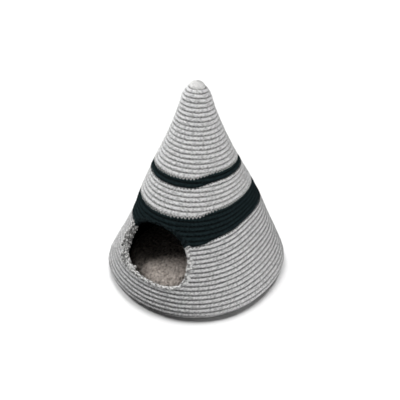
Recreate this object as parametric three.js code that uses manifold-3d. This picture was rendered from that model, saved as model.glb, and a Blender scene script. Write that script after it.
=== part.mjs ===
// Cat teepee: a soft cone wound from thick cotton ropes, one after another, each turn sewn to the turn above.
// Two dark rope lengths make a narrow and a wide band. An arched entrance is cut through the wall and its raw
// edge is sewn over, and a round fleece cushion lies inside on the flat coiled base.
// Millimetres, +Z up. The floor is Z = 0, the cone's axis is X = Y = 0, and the entrance faces -Y.
import * as THREE from "three";
import { mergeVertices } from "three/addons/utils/BufferGeometryUtils.js";
import Module from "manifold-3d";

const wasm = await Module();
wasm.setup();

// Rope and sewing
const ROPE_PITCH = 11.3; // one turn of rope, measured down the wall
const RIB_HEIGHT = 3.0; // the crest of a turn above the grooves beside it
const RIB_CREST = [0.27, 0.73]; // where the crest begins and ends, as shares of the turn
const WALL_DEPTH = 8.5; // from an outer groove to the inner face
const SEWN_GAP = 0.3; // clearance between neighbouring pieces
const STEPS_PER_TURN = 28;

// Rope lengths from the apex down, in turns. Each is joined to the next at the same place round the cone.
const TIP_TURNS = 20;
const NARROW_BAND_TURNS = 2;
const MIDDLE_TURNS = 6;
const WIDE_BAND_TURNS = 6;
const LOWER_TURNS = 18;
const CAP_TURNS = 1; // the pressed start of the rope on top
const JOIN_AZIMUTH = THREE.MathUtils.degToRad(45); // round from the entrance, counter-clockwise from above

// The wall's slope outwards from the vertical, in degrees, at a turn counted from the apex
const WALL_SLOPE = [
  { turn: 0, slope: 80 },
  { turn: 1, slope: 64 },
  { turn: 2, slope: 49.5 },
  { turn: 3, slope: 34 },
  { turn: 4.5, slope: 17 },
  { turn: 6.5, slope: 16.8 },
  { turn: 8.5, slope: 19.7 },
  { turn: 14.5, slope: 24 },
  { turn: 20.5, slope: 27 },
  { turn: 26.5, slope: 26.5 },
  { turn: 32.5, slope: 22.5 },
  { turn: 38.5, slope: 22.5 },
  { turn: 43.5, slope: 24.5 },
  { turn: 49, slope: 21 },
  { turn: 50.5, slope: -0.5 },
  { turn: 52, slope: -90 },
  { turn: 54, slope: -90 },
];

// How far the soft wall is out of round, as shares of its radius: an oval pulled out towards the entrance,
// and three blunt ridges, one of them near the rope joins
const OUT_OF_ROUND = [
  { turn: 0, oval: 0, ridge: 0 },
  { turn: 20.5, oval: 0.024, ridge: 0.002 },
  { turn: 34.5, oval: 0.124, ridge: 0.031 },
  { turn: 50.5, oval: 0.024, ridge: 0.035 },
];
const OVAL_AZIMUTH = THREE.MathUtils.degToRad(7);
const RIDGE_AZIMUTH = THREE.MathUtils.degToRad(38);

// Entrance, measured along the wall: a loaf-shaped opening with a high arch and a flatter sill
const ENTRANCE_TURN = 40.8; // the turn at its widest
const ENTRANCE_HALF_WIDTH = 107;
const ENTRANCE_RISE = 103; // from the widest place up to the crown of the arch
const ENTRANCE_DROP = 40; // from the widest place down to the sill
const ENTRANCE_LEAN = 0.1; // how far the arch leans to the right, as a share of its rise
const SILL_TILT = 8; // how far the sill runs down to the right of the middle
const SILL_SQUARENESS = 0.62; // 1 is a half ellipse, less is squarer
const ENTRANCE_STEPS = 46;
const EDGING_WIDTH = 12;
const EDGING_PROUD = 0.8; // how far the sewn edge stands above the ribs and the inner face
const EDGING_ROUND = 3.2; // corner radius of the sewn edge
const EDGING_FACE = RIB_HEIGHT + EDGING_PROUD; // its outer face, measured like the ribs
const EDGING_BACK = -WALL_DEPTH - EDGING_PROUD; // its inner face
const PLUG_REACH = 32; // how far the cut runs past the groove line, outwards and inwards

// Base and cushion
const FLOOR_CLEARANCE = 0.5; // the rope edge stands this far above the base's own foot
const CUSHION_RADIUS = 190;
const CUSHION_EDGE_HEIGHT = 36;
const CUSHION_CROWN = 22;
const CUSHION_FOOT_INSET = 16;
const CUSHION_STEPS = 36;

const PROFILE_STEPS_PER_TURN = 20;
const FULL_TURN = 2 * Math.PI;

// Reads one column of a table of turns, running straight from row to row
function column(table, name, turn) {
  const last = table.length - 1;
  if (turn <= table[0].turn) return table[0][name];
  if (turn >= table[last].turn) return table[last][name];
  const below = table.findIndex((row) => row.turn > turn);
  const [a, b] = [table[below - 1], table[below]];
  return THREE.MathUtils.mapLinear(turn, a.turn, b.turn, a[name], b[name]);
}

const slopeAt = (turn) => THREE.MathUtils.degToRad(column(WALL_SLOPE, "slope", turn));

// Walks down the wall from the apex, adding up its radius and drop, with the floor brought to zero at the end
function traceProfile() {
  const step = 1 / PROFILE_STEPS_PER_TURN;
  const points = [{ radius: 0, height: 0 }];
  const stepCount = WALL_SLOPE.at(-1).turn * PROFILE_STEPS_PER_TURN;
  for (let i = 0; i < stepCount; i++) {
    const slope = slopeAt((i + 0.5) * step);
    const { radius, height } = points[i];
    points.push({
      radius: radius + Math.sin(slope) * step * ROPE_PITCH,
      height: height - Math.cos(slope) * step * ROPE_PITCH,
    });
  }
  const foot = points.at(-1).height - RIB_HEIGHT - FLOOR_CLEARANCE;
  return points.map(({ radius, height }) => ({ radius, height: height - foot }));
}

const profile = traceProfile();

// Radius and height of the outer groove line at a turn
function profileAt(turn) {
  const place = THREE.MathUtils.clamp(turn * PROFILE_STEPS_PER_TURN, 0, profile.length - 1.001);
  const i = Math.floor(place);
  const share = place - i;
  return {
    radius: THREE.MathUtils.lerp(profile[i].radius, profile[i + 1].radius, share),
    height: THREE.MathUtils.lerp(profile[i].height, profile[i + 1].height, share),
  };
}

function roundness(turn, azimuth) {
  const oval = column(OUT_OF_ROUND, "oval", turn) * Math.cos(2 * (azimuth - OVAL_AZIMUTH));
  const ridge = column(OUT_OF_ROUND, "ridge", turn) * Math.cos(3 * (azimuth - RIDGE_AZIMUTH));
  return 1 + oval + ridge;
}

// A point on the wall: lift is its distance outwards from the groove line. Azimuth 0 is the entrance.
function wallPoint(turn, azimuth, lift) {
  const { radius, height } = profileAt(turn);
  const slope = slopeAt(turn);
  const reach = radius * roundness(turn, azimuth) + lift * Math.cos(slope);
  const z = height + lift * Math.sin(slope);
  return new THREE.Vector3(reach * Math.sin(azimuth), -reach * Math.cos(azimuth), z);
}

// Collects corner points and triangles, then gives them as one indexed geometry
class Facets {
  constructor() {
    this.corners = [];
    this.triangles = [];
  }

  corner(point) {
    this.corners.push(point.x, point.y, point.z);
    return this.corners.length / 3 - 1;
  }

  // A flat or nearly flat face, its corners counter-clockwise seen from outside
  face(...ring) {
    for (let i = 1; i < ring.length - 1; i++) this.triangles.push(ring[0], ring[i], ring[i + 1]);
  }

  geometry() {
    const made = new THREE.BufferGeometry();
    made.setAttribute("position", new THREE.Float32BufferAttribute(this.corners, 3));
    made.setIndex(this.triangles);
    return made;
  }
}

// A stretch of sewn coil from one turn to another: a tube wall whose rows run downhill as one spiral.
// A capped coil starts in a pressed button at the apex instead of under another rope.
function coilGeometry(firstTurn, lastTurn, capped = false) {
  const facets = new Facets();
  const n = STEPS_PER_TURN;
  const [first, last] = [firstTurn * n, lastTurn * n];
  const halfGap = SEWN_GAP / 2;
  const rows = { groove: new Map(), crest: new Map(), inner: new Map() };

  // Half the sewn gap is taken off where the coil meets another rope, above, below and at its two ends
  const place = (step, across) => {
    const row = step / n + across;
    const onGroove = across === 0;
    const underOther = !capped && onGroove && step <= first + n;
    const overOther = onGroove && step >= last;
    const atStart = !capped && (step === first || (onGroove && step === first + n));
    const atEnd = step === last || (onGroove && step === last + n);
    const turn = row + ((underOther ? halfGap : 0) - (overOther ? halfGap : 0)) / ROPE_PITCH;
    const shift = ((atStart ? halfGap : 0) - (atEnd ? halfGap : 0)) / profileAt(row).radius;
    const azimuth = JOIN_AZIMUTH + (FULL_TURN * step) / n + shift;
    return { turn, azimuth };
  };
  const add = (step, across, lift) => {
    const { turn, azimuth } = place(step, across);
    return facets.corner(wallPoint(turn, azimuth, lift));
  };
  for (let step = first; step <= last + n; step++) {
    rows.groove.set(step, add(step, 0, 0));
    rows.inner.set(step, add(step, 0, -WALL_DEPTH));
    if (step > last) continue;
    const crest = RIB_CREST.map((across) => add(step, across, RIB_HEIGHT));
    rows.crest.set(step, crest);
  }
  const groove = (step) => rows.groove.get(step);
  const inner = (step) => rows.inner.get(step);
  const section = (step) => [groove(step), ...rows.crest.get(step), groove(step + n)];

  for (let step = first; step < last; step++) {
    const [left, right] = [section(step), section(step + 1)];
    for (let i = 0; i < left.length - 1; i++) facets.face(left[i], left[i + 1], right[i + 1], right[i]);
    facets.face(inner(step), inner(step + 1), inner(step + 1 + n), inner(step + n));
  }
  for (let step = last; step < last + n; step++) {
    facets.face(groove(step), inner(step), inner(step + 1), groove(step + 1));
  }
  facets.face(inner(last), ...section(last), inner(last + n));

  if (capped) {
    const top = facets.corner(new THREE.Vector3(0, 0, profileAt(0).height));
    const underTop = facets.corner(new THREE.Vector3(0, 0, profileAt(0).height - WALL_DEPTH));
    for (let step = first; step < first + n; step++) {
      facets.face(top, groove(step), groove(step + 1));
      facets.face(underTop, inner(step + 1), inner(step));
    }
    facets.face(top, ...section(first).reverse());
    facets.face(underTop, inner(first), inner(first + n));
  } else {
    for (let step = first; step < first + n; step++) {
      facets.face(groove(step), groove(step + 1), inner(step + 1), inner(step));
    }
    facets.face(inner(first), inner(first + n), ...section(first).reverse());
  }
  return facets.geometry();
}

// The entrance's outline as if the wall were laid flat, with x to the right and y down, walked clockwise
// from the crown of the arch in steps of equal length
function entranceOutline() {
  const draft = new THREE.Path();
  const draftSteps = 720;
  for (let i = 0; i <= draftSteps; i++) {
    const angle = (FULL_TURN * i) / draftSteps;
    const [sine, cosine] = [Math.sin(angle), Math.cos(angle)];
    const square = (value) => Math.sign(value) * Math.abs(value) ** SILL_SQUARENESS;
    const arch = cosine > 0;
    const side = ENTRANCE_HALF_WIDTH * (arch ? sine : square(sine));
    const sill = ENTRANCE_DROP + (SILL_TILT * side) / ENTRANCE_HALF_WIDTH;
    const drop = arch ? -ENTRANCE_RISE * cosine : -sill * square(cosine);
    const lean = arch ? -ENTRANCE_LEAN * drop : 0;
    if (i === 0) draft.moveTo(side + lean, drop);
    else draft.lineTo(side + lean, drop);
  }
  return draft;
}

const outline = entranceOutline();

// Where the entrance's edge runs: its share of the way round, and the distance outwards from it
function entrancePlace(share, outwards) {
  const nudge = 0.004;
  const around = (at) => outline.getPointAt(THREE.MathUtils.euclideanModulo(at, 1));
  const along = around(share + nudge).sub(around(share - nudge)).normalize();
  const normal = new THREE.Vector2(along.y, -along.x);
  const { x: side, y: drop } = around(share).add(normal.multiplyScalar(outwards));
  const turn = ENTRANCE_TURN + drop / ROPE_PITCH;
  const radius = profileAt(turn).radius * roundness(turn, 0);
  return { turn, azimuth: side / radius };
}

function entrancePoint(share, outwards, lift) {
  const { turn, azimuth } = entrancePlace(share, outwards);
  return wallPoint(turn, azimuth, lift);
}

// Evenly spaced places along a stretch of the entrance's edge
function edgeStops(fromShare, toShare) {
  const steps = Math.round((toShare - fromShare) * ENTRANCE_STEPS);
  return Array.from({ length: steps + 1 }, (_, i) => THREE.MathUtils.lerp(fromShare, toShare, i / steps));
}

// The plug that is cut out of the wall, wide enough for the sewn edge to lie in
function entrancePlug(stops) {
  const facets = new Facets();
  const outwards = EDGING_WIDTH + SEWN_GAP;
  const ring = (lift) => stops.map((share) => facets.corner(entrancePoint(share, outwards, lift)));
  const middle = (lift) => facets.corner(wallPoint(ENTRANCE_TURN - ENTRANCE_RISE / 3 / ROPE_PITCH, 0, lift));
  const outerCorner = EDGING_FACE - EDGING_ROUND / 2;
  const innerCorner = EDGING_BACK + EDGING_ROUND / 2;
  const rings = [PLUG_REACH, outerCorner, innerCorner, -PLUG_REACH].map(ring);
  const [face, back] = [middle(PLUG_REACH), middle(-PLUG_REACH)];
  stops.forEach((_, i) => {
    const next = (i + 1) % stops.length;
    facets.face(face, rings[0][next], rings[0][i]);
    facets.face(back, rings.at(-1)[i], rings.at(-1)[next]);
    for (let j = 0; j < rings.length - 1; j++) {
      facets.face(rings[j][i], rings[j][next], rings[j + 1][next], rings[j + 1][i]);
    }
  });
  return facets.geometry();
}

// The share of the entrance's edge at which the wide band's lower groove crosses it, going the given way
function bandCrossing(direction) {
  const scanSteps = 2000;
  const bandFoot = TIP_TURNS + NARROW_BAND_TURNS + MIDDLE_TURNS + WIDE_BAND_TURNS + 1;
  for (let i = 0; i < scanSteps / 2; i++) {
    const share = (direction * i) / scanSteps;
    const { turn, azimuth } = entrancePlace(share, EDGING_WIDTH / 2);
    if (turn > bandFoot + (azimuth - JOIN_AZIMUTH) / FULL_TURN) return share;
  }
  return direction / 2;
}

// A stretch of the sewn edge: a rounded bar that wraps the wall's raw edge from the outer to the inner face
function edgingGeometry(stops) {
  const facets = new Facets();
  const [low, high] = [EDGING_BACK, EDGING_FACE];
  const section = [
    { outwards: 0, lift: low + EDGING_ROUND },
    { outwards: EDGING_ROUND, lift: low },
    { outwards: EDGING_WIDTH - EDGING_ROUND / 2, lift: low },
    { outwards: EDGING_WIDTH, lift: low + EDGING_ROUND / 2 },
    { outwards: EDGING_WIDTH, lift: high - EDGING_ROUND / 2 },
    { outwards: EDGING_WIDTH - EDGING_ROUND / 2, lift: high },
    { outwards: EDGING_ROUND, lift: high },
    { outwards: 0, lift: high - EDGING_ROUND },
  ];
  const rings = stops.map((share) =>
    section.map(({ outwards, lift }) => facets.corner(entrancePoint(share, outwards, lift))),
  );
  for (let i = 0; i < rings.length - 1; i++) {
    for (let j = 0; j < section.length; j++) {
      const k = (j + 1) % section.length;
      facets.face(rings[i][k], rings[i + 1][k], rings[i + 1][j], rings[i][j]);
    }
  }
  facets.face(...rings[0].toReversed());
  facets.face(...rings.at(-1));
  return facets.geometry();
}

// The flat coil under the cushion, whose rim is the spiral that the wall's last turn leaves open
function baseGeometry() {
  const rim = new THREE.Shape();
  const rimTurn = TIP_TURNS + NARROW_BAND_TURNS + MIDDLE_TURNS + WIDE_BAND_TURNS + LOWER_TURNS;
  for (let step = 0; step <= STEPS_PER_TURN; step++) {
    const turn = rimTurn + step / STEPS_PER_TURN;
    const atJoin = step % STEPS_PER_TURN === 0;
    const shift = atJoin ? SEWN_GAP / 2 / profileAt(turn).radius : 0;
    const azimuth = JOIN_AZIMUTH + (FULL_TURN * step) / STEPS_PER_TURN + shift;
    const { x, y } = wallPoint(turn + SEWN_GAP / ROPE_PITCH, azimuth, 0);
    if (step === 0) rim.moveTo(x, y);
    else rim.lineTo(x, y);
  }
  const depth = FLOOR_CLEARANCE + RIB_HEIGHT + WALL_DEPTH;
  return new THREE.ExtrudeGeometry(rim, { depth, bevelEnabled: false });
}

// A round filled cushion with a flat foot, a side drawn in above and below its seam, and a crowned top
function cushionGeometry() {
  const sideSteps = 4;
  const crownSteps = 6;
  const points = [new THREE.Vector2(0, 0), new THREE.Vector2(CUSHION_RADIUS - CUSHION_FOOT_INSET, 0)];
  for (let i = 1; i <= sideSteps; i++) {
    const angle = THREE.MathUtils.lerp(-Math.PI / 2, Math.PI / 2, i / (sideSteps + 1));
    const x = CUSHION_RADIUS - CUSHION_FOOT_INSET * (1 - Math.cos(angle));
    points.push(new THREE.Vector2(x, (CUSHION_EDGE_HEIGHT / 2) * (1 + Math.sin(angle))));
  }
  const crownRadius = CUSHION_RADIUS - CUSHION_FOOT_INSET;
  for (let i = 0; i <= crownSteps; i++) {
    const share = 1 - i / crownSteps;
    const height = CUSHION_EDGE_HEIGHT + CUSHION_CROWN * (1 - share ** 2);
    points.push(new THREE.Vector2(crownRadius * share, height));
  }
  const made = new THREE.LatheGeometry(points, CUSHION_STEPS);
  made.rotateX(Math.PI / 2);
  return made;
}

function solidOf(geometry) {
  const bare = geometry.clone();
  bare.deleteAttribute("normal");
  bare.deleteAttribute("uv");
  const merged = mergeVertices(bare, 1e-3);
  const vertProperties = merged.attributes.position.array;
  const triVerts = new Uint32Array(merged.index.array);
  return new wasm.Manifold(new wasm.Mesh({ numProp: 3, vertProperties, triVerts }));
}

function geometryOf(solid) {
  const { vertProperties, triVerts } = solid.getMesh();
  const made = new THREE.BufferGeometry();
  made.setAttribute("position", new THREE.BufferAttribute(vertProperties, 3));
  made.setIndex(new THREE.BufferAttribute(triVerts, 1));
  return made;
}

const fabric = (color, roughness) => new THREE.MeshStandardMaterial({ color, roughness, metalness: 0 });
const lightRope = () => fabric("#cbc9c8", 0.95);
const darkRope = () => fabric("#12191b", 0.95);
const fleece = () => fabric("#b3a69d", 1.0);

const teepee = new THREE.Group();

function sew(name, geometry, material, height = 0) {
  const mesh = new THREE.Mesh(geometry, material);
  mesh.name = name;
  mesh.position.z = height;
  teepee.add(mesh);
}

// The entrance's edge, in a stretch across the dark band and one below it
const edgeGap = (2 * SEWN_GAP) / outline.getLength();
const [leftCrossing, rightCrossing] = [bandCrossing(-1), bandCrossing(1)];
const darkStops = edgeStops(leftCrossing, rightCrossing);
const lightStops = edgeStops(rightCrossing + edgeGap, 1 + leftCrossing - edgeGap);

// The five rope lengths, from the apex down
const plug = solidOf(entrancePlug([...darkStops, ...lightStops]));
const cutForEntrance = (geometry) => geometryOf(solidOf(geometry).subtract(plug));
const narrowTop = TIP_TURNS;
const middleTop = narrowTop + NARROW_BAND_TURNS;
const wideTop = middleTop + MIDDLE_TURNS;
const lowerTop = wideTop + WIDE_BAND_TURNS;
sew("tip_coil", coilGeometry(CAP_TURNS, narrowTop, true), lightRope());
sew("narrow_dark_band", coilGeometry(narrowTop, middleTop), darkRope());
sew("middle_coil", coilGeometry(middleTop, wideTop), lightRope());
sew("wide_dark_band", cutForEntrance(coilGeometry(wideTop, lowerTop)), darkRope());
sew("lower_coil", cutForEntrance(coilGeometry(lowerTop, lowerTop + LOWER_TURNS)), lightRope());

// The sewn edge, dark where it crosses the dark band
sew("entrance_edging_dark", edgingGeometry(darkStops), darkRope());
sew("entrance_edging_light", edgingGeometry(lightStops), lightRope());

// The base and what lies on it
const baseTop = FLOOR_CLEARANCE + RIB_HEIGHT + WALL_DEPTH;
sew("base_coil", baseGeometry(), lightRope());
sew("cushion", cushionGeometry(), fleece(), baseTop + SEWN_GAP);

export default teepee;
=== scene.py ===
"""Dresses the cat teepee: sewn rope lengths, zigzag stitches, entrance edge, flat base and fleece cushion."""
import logging
import math
from dataclasses import dataclass, field
from enum import Enum
from functools import cached_property

import bpy
import numpy as np
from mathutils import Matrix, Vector


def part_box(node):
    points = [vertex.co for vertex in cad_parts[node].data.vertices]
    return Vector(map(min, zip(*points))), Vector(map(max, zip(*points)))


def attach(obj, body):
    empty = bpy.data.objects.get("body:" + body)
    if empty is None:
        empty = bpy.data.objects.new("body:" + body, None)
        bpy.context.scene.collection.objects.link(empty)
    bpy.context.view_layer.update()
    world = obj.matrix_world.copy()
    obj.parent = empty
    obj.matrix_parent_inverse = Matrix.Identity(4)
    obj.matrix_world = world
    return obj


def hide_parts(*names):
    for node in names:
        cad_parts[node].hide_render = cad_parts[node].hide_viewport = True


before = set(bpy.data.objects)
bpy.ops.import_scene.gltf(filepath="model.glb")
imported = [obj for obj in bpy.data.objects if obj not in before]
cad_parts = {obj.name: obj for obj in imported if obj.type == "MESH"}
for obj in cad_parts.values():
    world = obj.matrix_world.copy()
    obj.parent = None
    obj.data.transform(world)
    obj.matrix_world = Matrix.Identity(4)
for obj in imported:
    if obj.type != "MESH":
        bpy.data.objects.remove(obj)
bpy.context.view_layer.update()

log = logging.getLogger("cat_teepee")

MM = 0.001
FULL_TURN = 2 * math.pi
BODY = "root"
# the edge finish paints shade in the hollows and light on the lumps from this attribute, and shade at the
# roots of loose ends
RAISED = "raised"  # attribute with the height of a lumpy skin
IMAGE_SIDE = 400  # pixels of the square picture that the camera was fitted to

Rgb = tuple[float, float, float]
Span = tuple[float, float]  # least and most, or first and last


class Tone(Enum):
    """The two rope and thread colours, each with the record's slot that it belongs to."""

    LIGHT = "light_rope"
    DARK = "dark_rope"


def signed_power(value: np.ndarray, power: float | np.ndarray) -> np.ndarray:
    """Raises the size of a value to a power and keeps its sign."""
    return np.sign(value) * np.abs(value) ** power


def ease(share: np.ndarray) -> np.ndarray:
    """Makes a straight run from 0 to 1 start and end gently."""
    return share**2 * (3 - 2 * share)


def unit(vectors: np.ndarray) -> np.ndarray:
    """Brings vectors along the last axis to a length of one."""
    return vectors / np.maximum(np.linalg.norm(vectors, axis=-1, keepdims=True), 1e-9)


def bearing(azimuth: float, elevation: float) -> Vector:
    """The direction at so many degrees round from the entrance and above the floor."""
    turn, rise = math.radians(azimuth), math.radians(elevation)
    return Vector((math.sin(turn) * math.cos(rise), -math.cos(turn) * math.cos(rise), math.sin(rise)))


# The wall and the entrance, as the solids have them


@dataclass(frozen=True)
class WallShape:
    """The coiled wall: its slope and its out-of-round section by turn, counted from the apex, in metres.

    Attributes:
        pitch: One turn of rope, measured down the wall.
        rib_height: Crest of a turn above the groove line.
        floor_clearance: How far the lowest rope stays above the floor.
        join_azimuth: Where one rope is joined to the next, round from the entrance.
        oval_azimuth: Where the pull towards the entrance is strongest.
        ridge_azimuth: Where the first of the three blunt ridges is.
        steps_per_turn: Steps in which the profile is added up.
        fine_steps: Steps per turn in which a rope's length is added up.
        slopes: (turn, degrees outwards from the vertical).
        ovals: (turn, share of the radius) of the pull towards the entrance.
        ridges: (turn, share of the radius) of the three blunt ridges.
    """

    pitch: float = 11.3 * MM
    rib_height: float = 3.0 * MM
    floor_clearance: float = 0.5 * MM
    join_azimuth: float = math.radians(45)
    oval_azimuth: float = math.radians(7)
    ridge_azimuth: float = math.radians(38)
    steps_per_turn: int = 20
    fine_steps: int = 240
    slopes: tuple[tuple[float, float], ...] = (
        (0, 80), (1, 64), (2, 49.5), (3, 34), (4.5, 17), (6.5, 16.8), (8.5, 19.7), (14.5, 24), (20.5, 27),
        (26.5, 26.5), (32.5, 22.5), (38.5, 22.5), (43.5, 24.5), (49, 21), (50.5, -0.5), (52, -90), (72, -90),
    )
    ovals: tuple[tuple[float, float], ...] = ((0, 0), (20.5, 0.024), (34.5, 0.124), (50.5, 0.024))
    ridges: tuple[tuple[float, float], ...] = ((0, 0), (20.5, 0.002), (34.5, 0.031), (50.5, 0.035))

    @staticmethod
    def _column(table: tuple[tuple[float, float], ...], turn: np.ndarray) -> np.ndarray:
        """Reads a table of turns, running straight from row to row."""
        turns, values = zip(*table)
        return np.interp(turn, turns, values)

    def slope(self, turn: np.ndarray) -> np.ndarray:
        """The wall's slope outwards from the vertical, in radians."""
        return np.radians(self._column(self.slopes, turn))

    @cached_property
    def _profile(self) -> tuple[np.ndarray, np.ndarray, np.ndarray]:
        """Adds the slopes up to a profile, with the lowest rope just above the floor.

        Returns:
            Turns, radii and heights of the groove line.
        """
        step = 1 / self.steps_per_turn
        turns = np.arange(0, self.slopes[-1][0] + step / 2, step)
        slope = self.slope(turns[:-1] + step / 2)
        radius = np.concatenate(([0], np.cumsum(np.sin(slope)))) * step * self.pitch
        height = np.concatenate(([0], -np.cumsum(np.cos(slope)))) * step * self.pitch
        return turns, radius, height - height[-1] + self.rib_height + self.floor_clearance

    def radius(self, turn: np.ndarray) -> np.ndarray:
        """Radius of the groove line before it is pulled out of round."""
        return np.interp(turn, self._profile[0], self._profile[1])

    def height(self, turn: np.ndarray) -> np.ndarray:
        """Height of the groove line above the floor."""
        return np.interp(turn, self._profile[0], self._profile[2])

    def roundness(self, turn: np.ndarray, azimuth: np.ndarray) -> np.ndarray:
        """How much further out than a round section the wall is, as a factor."""
        oval = self._column(self.ovals, turn) * np.cos(2 * (azimuth - self.oval_azimuth))
        return 1 + oval + self._column(self.ridges, turn) * np.cos(3 * (azimuth - self.ridge_azimuth))

    def point(self, turn: np.ndarray, azimuth: np.ndarray, lift: np.ndarray) -> np.ndarray:
        """Points on or near the wall.

        Args:
            turn: Turns from the apex.
            azimuth: Angle round from the entrance, counter-clockwise from above.
            lift: Distance outwards from the groove line.

        Returns:
            Points with a last axis of three.
        """
        slope = self.slope(turn)
        reach = self.radius(turn) * self.roundness(turn, azimuth) + lift * np.cos(slope)
        height = self.height(turn) + lift * np.sin(slope)
        return np.stack((reach * np.sin(azimuth), -reach * np.cos(azimuth), height + 0 * reach), axis=-1)

    def helix_azimuth(self, turn: np.ndarray) -> np.ndarray:
        """Azimuth of the rope's upper groove at a turn."""
        return self.join_azimuth + FULL_TURN * turn

    def turns_along(self, length: float, turn: float) -> float:
        """How many turns a short length of rope takes up at a turn."""
        return length / (FULL_TURN * float(self.radius(turn + 0.5)))

    def spaced_turns(self, first: float, last: float, spacing: float, least: int) -> np.ndarray:
        """Turns along the helix that are evenly spaced along the rope.

        Args:
            first: Turn at the rope's start.
            last: Turn at its end.
            spacing: Widest step along the rope.
            least: Fewest steps in one turn, where the coil is small.

        Returns:
            Turns from first to last.
        """
        fine = np.linspace(first, last, int((last - first) * self.fine_steps))
        density = np.maximum(FULL_TURN * self.radius(fine + 0.5) / spacing, least)
        walked = np.concatenate(([0], np.cumsum((density[1:] + density[:-1]) / 2 * np.diff(fine))))
        return np.interp(np.linspace(0, walked[-1], int(math.ceil(walked[-1])) + 1), walked, fine)


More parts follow.
